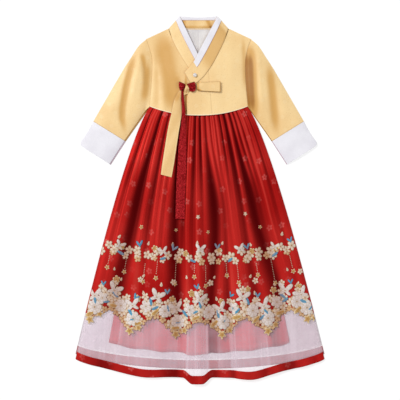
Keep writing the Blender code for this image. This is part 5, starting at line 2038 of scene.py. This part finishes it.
@dataclass
class Bow:
    """The two long tie ends, the flat gold loop, and the knot's two red loops and gold band."""

    room: Workroom
    jacket: JacketForm = field(default_factory=JacketForm)
    skirt: SkirtForm = field(default_factory=SkirtForm)
    overlap_edge: float = -0.03
    reach: float = 0.012
    stations: int = 60
    gold_line: Track = (
        (-0.048, 0.286), (-0.0562, 0.2652), (-0.059, 0.2473), (-0.0608, 0.2236), (-0.0658, 0.1981),
        (-0.0699, 0.1758), (-0.0822, 0.096), (-0.0878, 0.061),
    )
    gold_width: tuple[float, ...] = (0.006, 0.0175, 0.0255, 0.0288, 0.0296, 0.03, 0.0303, 0.0303, 0.029)
    red_line: Track = (
        (-0.0452, 0.287), (-0.045, 0.2652), (-0.0429, 0.2418), (-0.0424, 0.221), (-0.0437, 0.182),
        (-0.045, 0.1586), (-0.0468, 0.091), (-0.0498, 0.02), (-0.0518, -0.049),
    )
    red_width: tuple[float, ...] = (0.0068, 0.0083, 0.0115, 0.0178, 0.0222, 0.024, 0.0245, 0.0245, 0.0245)
    loop_ends: Track = ((-0.0075, 0.293), (0.052, 0.2928))
    loop_width: Pair = (0.019, 0.027)
    loop_spread: float = 0.0022
    loop_sinks: float = 0.002  # past the collar
    fans: tuple[Fan, ...] = (
        Fan("left_knot_loop", *mm((-36.4, 295), (-54.3, 306.6), (-51.5, 282)), 0.0, 0.00042, ("tie_knot",)),
        Fan("right_knot_loop", *mm((-34.5, 296), (-14.4, 306.2), (-11.8, 283)), 0.0075, 0.00058),
    )
    pinch_half: float = 0.0036
    band_line: Track = ((-0.0356, 0.299), (-0.034, 0.291), (-0.0345, 0.282), (-0.038, 0.2725))

    def top_of_all(self, x: Array, y: Array) -> Array:
        """The highest cloth at places: the jacket's fronts and collar, or the skirt below them."""
        across, jacket = x - MIDDLE, self.jacket
        front = np.where(across > self.overlap_edge - 0.004, jacket.outer(across, y), jacket.front(across, y))
        front = front + (LOOSE + COLLAR_CLOTH) * ramp(0.284, 0.292, y)
        skirt = self.skirt.height(*self.skirt.seat(x, y))
        return np.where(y < jacket.hem_line(across) - 0.004, skirt, front)

    def tail(
        self, centre: Sequence[Pair], widths: Sequence[float], slant: float
    ) -> tuple[Plan, Line]:
        """A ribbon that lies on whatever is below it.

        Args:
            centre: its middle line.
            widths: its width along that line.
            slant: how much further one edge runs than the other, as a share of its length.

        Returns:
            Its plan, s along and t across, and its height along it.
        """
        line = smooth_line(centre)
        width = smooth_line([(i / (len(widths) - 1), w) for i, w in enumerate(widths)])
        length = sum(math.dist(a, b) for a, b in zip(centre, centre[1:]))
        near = self.reach / length

        def plan(s: Array, t: Array) -> Array:
            """Its places: s runs along it, t across."""
            along = s * (1 + slant * (2 * t - 1)) / (1 + slant)
            before, after = line(along - 0.01), line(along + 0.01)
            way = after - before
            way = way / np.linalg.norm(way, axis=1)[:, None]
            out = ((t - 0.5) * width(along)[:, 1])[:, None]
            return line(along) + out * np.column_stack((-way[:, 1], way[:, 0]))

        stations = np.linspace(0.0, 1.0, self.stations + 1)
        highest = np.full(len(stations), -np.inf)
        for k in range(-4, 5):
            for t in range(5):
                at = np.clip(stations + near * k / 4, 0.0, 1.0)
                highest = np.maximum(highest, self.top_of_all(*plan(at, np.full_like(at, t / 4)).T))
        window = max(int(near * self.stations), 1)
        padded = np.pad(highest, window, mode="edge")
        smooth = np.convolve(padded, np.ones(2 * window + 1) / (2 * window + 1), mode="valid")
        return plan, lambda s: np.interp(s, stations, smooth)

    def make_tails(self) -> float:
        """The two long ends. Returns the height at which the knot lies on them."""
        lie = GAP + RIBBON_CLOTH + 0.0008
        gold_plan, gold_height = self.tail(self.gold_line, self.gold_width, 0.006)
        red_plan, red_height = self.tail(self.red_line, self.red_width, 0.0)

        def gold(s: Array, t: Array) -> Points:
            """The gold end's upper face, slightly cupped and wavy."""
            x, y = gold_plan(s, t).T
            cup = 0.0011 * (1 - (2 * t - 1) ** 2) * ramp(0.0, 0.12, s) + 0.0009 * np.sin(9 * s + 3.0 * t) * t
            return x, y, gold_height(s) + lie + cup

        def red(s: Array, t: Array) -> Points:
            """The red end's, over the gold one near the knot."""
            x, y = red_plan(s, t).T
            over = (RIBBON_CLOTH + 0.0022) * (1 - ramp(0.3, 0.5, s))
            cup = 0.0009 * (1 - (2 * t - 1) ** 2) + 0.0006 * np.sin(11 * s - 2.0 * t)
            return x, y, red_height(s) + lie + over + cup

        def gold_shade(s: Array, t: Array) -> Array:
            """Darker inside its edges and where it comes out of the knot."""
            edge = np.minimum(t, 1 - t)
            soft = 0.24 * ramp(0.02, 0.14, edge) + 0.04 * np.sin(14 * s + 5 * t) * ramp(0.1, 0.3, edge)
            return np.clip(soft + 0.45 * bell(s - 0.09, 0.05) * ramp(1.0, 0.2, t), 0, 1)

        def red_shade(s: Array, t: Array) -> Array:
            """Darker at the knot and along one edge."""
            return np.clip(0.5 * bell(s, 0.06) + 0.3 * ramp(0.3, 0.0, t), 0, 1)

        tails = (
            ("gold_tail", gold, Slot.GOLD, "tie_gold", (0.03, 0.245), "front_gore_cloth", 0.0066, gold_shade),
            ("red_tail", red, Slot.RIBBON, "tie_red", (0.0245, 0.34), "gold_tail", 0.0062, red_shade),
        )
        for name, place, slot, node, size, below, area, shade in tails:
            self.room.sew(
                name, place, (120, 16), RIBBON_CLOTH, slot, (node,),
                Cut(size, Held.LAID, (below, "skirt_satin"), area), shade, "low high", 0.0008,
                lambda s, t, length=size[1]: np.column_stack((t * 0.028, s * length)), 0.0003,
            )
        return float(red(np.array([0.0]), np.array([0.5]))[2][0])

    def make_loop(self) -> None:
        """The flat loop: a ribbon that goes out, turns over and comes back above itself."""
        start, end = self.loop_ends
        probe = np.linspace(start[0], end[0], 9)
        base = float(self.top_of_all(probe, np.full_like(probe, 0.293)).max()) + GAP + 0.0002
        turn = self.loop_spread / 2
        run = end[0] - start[0] - turn
        whole = 2 * run + math.pi * turn

        def place(s: Array, t: Array) -> Points:
            """Its face: s runs out and back, t across."""
            along = s * whole
            angle = np.clip((along - run) / turn, 0.0, math.pi)
            straight_runs = [along < run, along > whole - run]
            out = np.select(straight_runs, [along, whole - along], run + turn * np.sin(angle))
            up = turn * (1 - np.cos(angle))
            share = out / run
            width = mix(*self.loop_width, np.minimum(share, 1.0) ** 0.6)
            y = mix(start[1], end[1], np.minimum(share, 1.0)) + (t - 0.5) * width
            crest = 0.0008 * np.sin(math.pi * t) * (up > turn) * ramp(0.0, 0.3, share)
            pinch = 0.0012 * np.cos(3 * math.pi * (t - 0.5)) * ramp(0.35, 0.0, share) * (up > turn)
            sunk = self.loop_sinks * ramp(0.15, 0.55, share)
            return start[0] + out, y, base + RIBBON_CLOTH + up + crest + pinch - sunk

        def shade(s: Array, t: Array) -> Array:
            """Darker at the knot, at the turn, in a crease and along one edge."""
            share = np.minimum(s, 1 - s) * 2
            ends = 0.6 * ramp(0.16, 0.0, share) + 0.85 * bell(s - 0.5, 0.012)
            crease = 0.8 * bell(t - 0.12, 0.1) * ramp(0.3, 0.05, share)
            return np.clip(ends + crease + 0.9 * ramp(0.05, 0.0, t), 0, 1)

        self.room.sew(
            "gold_loop", place, (150, 16), THIN_CLOTH, Slot.GOLD, ("tie_loop",),
            Cut((round(whole, 3), 0.0265), Held.FOLDED, ("outer_collar_cloth", "front_gore_cloth")),
            shade, "low high", 0.0008, lambda s, t: np.column_stack((s * whole + 0.5, t * 0.026)),
        )

    def make_fan(self, fan: Fan, floor: float) -> None:
        """Makes one of the knot's loops, in folds that spread from its pinched end."""
        (pinch_x, pinch_y), (high_x, high_y), (low_x, low_y) = fan.pinch, fan.high, fan.low

        def place(s: Array, t: Array) -> Points:
            """Its upper face: s runs outwards, t upwards."""
            belly = 0.002 * np.sin(math.pi * t) * ramp(0.5, 1.0, s) * np.sign(high_x - pinch_x)
            x = mix(pinch_x, mix(low_x, high_x, t), s) + belly
            y = mix(pinch_y + (2 * t - 1) * self.pinch_half, mix(low_y, high_y, t), s**0.85)
            y = y - fan.sag * np.sin(math.pi * s) * (1 - t) ** 1.5
            folds = 0.0011 * np.cos(5 * math.pi * t) * ramp(0.0, 0.3, s) * (1 - 0.5 * s)
            dome = 0.0062 * np.sin(math.pi * np.clip(0.15 + 0.75 * s, 0, 1))
            return x, y, floor + 0.001 + folds + dome * (1 - 0.75 * np.abs(2 * t - 1) ** 2.5)

        def shade(s: Array, t: Array) -> Array:
            """Darker at its pinched end, between its folds and along its edges."""
            folds = 0.5 - 0.5 * np.cos(5 * math.pi * t)
            rim = 0.6 * ramp(0.08, 0.0, np.minimum(t, 1 - t))
            return np.clip(0.9 * ramp(0.4, 0.0, s) + 0.75 * folds * (1 - 0.7 * s) + rim, 0, 1)

        self.room.sew(
            fan.name, place, (40, 36), THIN_CLOTH, Slot.RIBBON, fan.nodes,
            Cut((0.0245, 0.026), Held.FOLDED, ("gold_tail", "outer_collar_cloth"), fan.area), shade,
            flat=lambda s, t: np.column_stack((s * 0.022, t * 0.026 + 0.7)),
        )

    def make_band(self, floor: float) -> None:
        """The gold band round the knot, between its loops."""
        line = smooth_line(self.band_line)

        def place(s: Array, t: Array) -> Points:
            """Its upper face: s runs down, t across."""
            x, y = line(s).T
            out = (t - 0.5) * mix(0.0042, 0.0145, ramp(0.0, 0.6, s))
            dome = 0.005 * np.sin(math.pi * np.clip(0.25 + 0.7 * s, 0, 1)) * (1 - 0.5 * (2 * t - 1) ** 2)
            level = mix(0.004, -0.0024, ramp(0.4, 0.85, s))
            return x + out, y + 0.3 * out, floor + level + dome * (1 - 0.8 * s)

        def shade(s: Array, t: Array) -> Array:
            """Darker at its upper end, along its edges and in a crease."""
            edges = 0.8 * ramp(0.14, 0.0, np.minimum(t, 1 - t))
            crease = 0.55 * bell(t - 0.55, 0.09) * ramp(0.1, 0.5, s)
            return np.clip(0.7 * ramp(0.3, 0.0, s) + edges + crease, 0, 1)

        self.room.sew(
            "knot_band", place, (30, 14), THIN_CLOTH, Slot.GOLD, (),
            Cut((0.015, 0.029), Held.FOLDED, ("left_knot_loop", "right_knot_loop"), 0.00036), shade,
        )

    def make(self) -> None:
        """Every piece of the bow."""
        floor = self.make_tails()
        self.make_loop()
        for fan in self.fans:
            self.make_fan(fan, floor)
        self.make_band(floor)


@dataclass
class PearlButton:
    """The pearl snap button on the collar's end."""

    room: Workroom
    jacket: JacketForm = field(default_factory=JacketForm)
    place: Pair = (-0.0095, 0.323)
    radius: float = 0.0052
    half_height: float = 0.003
    groove: float = 0.8  # how far out it runs, as a share of the radius
    probe: float = 0.004  # how far out the height of the cloth below is read

    def make(self) -> None:
        """A flattened ball with a fine groove inside its rim."""
        mesh = bpy.data.meshes.new("pearl_button")
        pearl = bmesh.new()
        bmesh.ops.create_uvsphere(pearl, u_segments=48, v_segments=24, radius=self.radius)
        for vertex in pearl.verts:
            away = math.hypot(vertex.co.x, vertex.co.y) / self.radius
            groove = 0.1 * bell(away - self.groove, 0.08) if vertex.co.z >= 0 else 0.0
            vertex.co.z *= self.half_height / self.radius * (1.0 - groove)
        x, y = self.place
        under = [(x + dx, y + dy) for dx in (-self.probe, self.probe) for dy in (-self.probe, self.probe)]
        seat = self.jacket.collar(self.jacket.outer)(*np.array(under).T).max() + GAP
        bmesh.ops.translate(pearl, vec=(x + MIDDLE, y, seat + self.half_height), verts=pearl.verts[:])
        pearl.to_mesh(mesh)
        pearl.free()
        self.room.wear("pearl_button", mesh, Slot.PEARL, ("button",))


# ---- the studio
@dataclass(frozen=True)
class Lamp:
    """A soft square lamp that looks at a point of the garment."""

    name: str
    place: Three
    size: float
    watts: float
    aim: Three = (0.0, 0.0, 0.0)

    def make(self) -> None:
        """Hangs the lamp."""
        light = bpy.data.lights.new(self.name, "AREA")
        light.shape = "SQUARE"
        light.size = self.size
        light.energy = self.watts
        lamp = bpy.data.objects.new(self.name, light)
        bpy.context.scene.collection.objects.link(lamp)
        lamp.location = self.place
        lamp.rotation_euler = (Vector(self.aim) - Vector(self.place)).to_track_quat("-Z", "Y").to_euler()


@dataclass
class Studio:
    """A plain pale floor, soft white light and a camera straight above."""

    camera_height: float = 3.5
    lens: float = 121.15
    floor_half: float = 6.0
    floor_drop: float = 0.0006
    floor_glow: float = 0.72  # a lit table, so that shadows stay faint
    world: float = 0.34
    lamps: tuple[Lamp, ...] = (
        Lamp("key_lamp", (-5.4, 3.4, 7.4), 2.7, 650.0),
        Lamp("fill_lamp", (4.5, -2.2, 7.0), 5.0, 185.0),
    )

    def make(self) -> None:
        """Lays the floor, hangs the lamps and sets the camera."""
        scene = bpy.context.scene
        mesh = bpy.data.meshes.new("floor")
        ground = bmesh.new()
        bmesh.ops.create_grid(ground, x_segments=1, y_segments=1, size=self.floor_half)
        bmesh.ops.translate(ground, vec=(0, 0, -self.floor_drop), verts=ground.verts[:])
        ground.to_mesh(mesh)
        ground.free()
        floor = bpy.data.objects.new("floor", mesh)
        scene.collection.objects.link(floor)
        board = Board("pale_floor")
        where = board.tree.nodes.new("ShaderNodeTexCoord").outputs["Object"]
        board.set(base_color=board.blend(board.noise(where, 3.0), "#949494", "#989898"), roughness=0.9)
        board.set(specular_ior_level=0.1, emission_color="#ffffff", emission_strength=self.floor_glow)
        mesh.materials.append(board.material)
        floor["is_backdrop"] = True
        world = bpy.data.worlds.new("soft_white")
        world.use_nodes = True
        world.node_tree.nodes["Background"].inputs[0].default_value = (1.0, 1.0, 1.0, 1.0)
        world.node_tree.nodes["Background"].inputs[1].default_value = self.world
        scene.world = world
        for lamp in self.lamps:
            lamp.make()
        camera = bpy.data.objects.new("camera", bpy.data.cameras.new("camera"))
        scene.collection.objects.link(camera)
        camera.location = (0.0, 0.0, self.camera_height)
        camera.data.lens = self.lens
        camera.data.sensor_width = 36.0
        camera.data.clip_end = 50.0
        scene.camera = camera
        scene.view_settings.view_transform = "Standard"


def corners() -> list[list[float]]:
    """The whole object's box as plain numbers."""
    return [list(corner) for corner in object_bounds()]


def main() -> None:
    """Loads the part, dresses it and lights it."""
    logging.basicConfig(level=logging.INFO, format="%(message)s")
    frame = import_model()
    LOG.info("%d nodes in the part", len(frame["nodes"]))
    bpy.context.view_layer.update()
    room = Workroom()
    Studio().make()
    bodice = Bodice(room)
    bodice.make_back()
    bodice.make_lining()
    skirt = Skirt(room)
    skirt.make_back()
    Underskirt(room, skirt.form).make()
    skirt.make_waistband()
    skirt.make_front()
    Embroidery(room, skirt.form).make()
    bodice.make_fronts()
    Sleeves(room).make()
    collar = Collar(room)
    collar.make_back()
    collar.make_fronts()
    Bow(room).make()
    PearlButton(room).make()


if __name__ == "__main__":
    main()
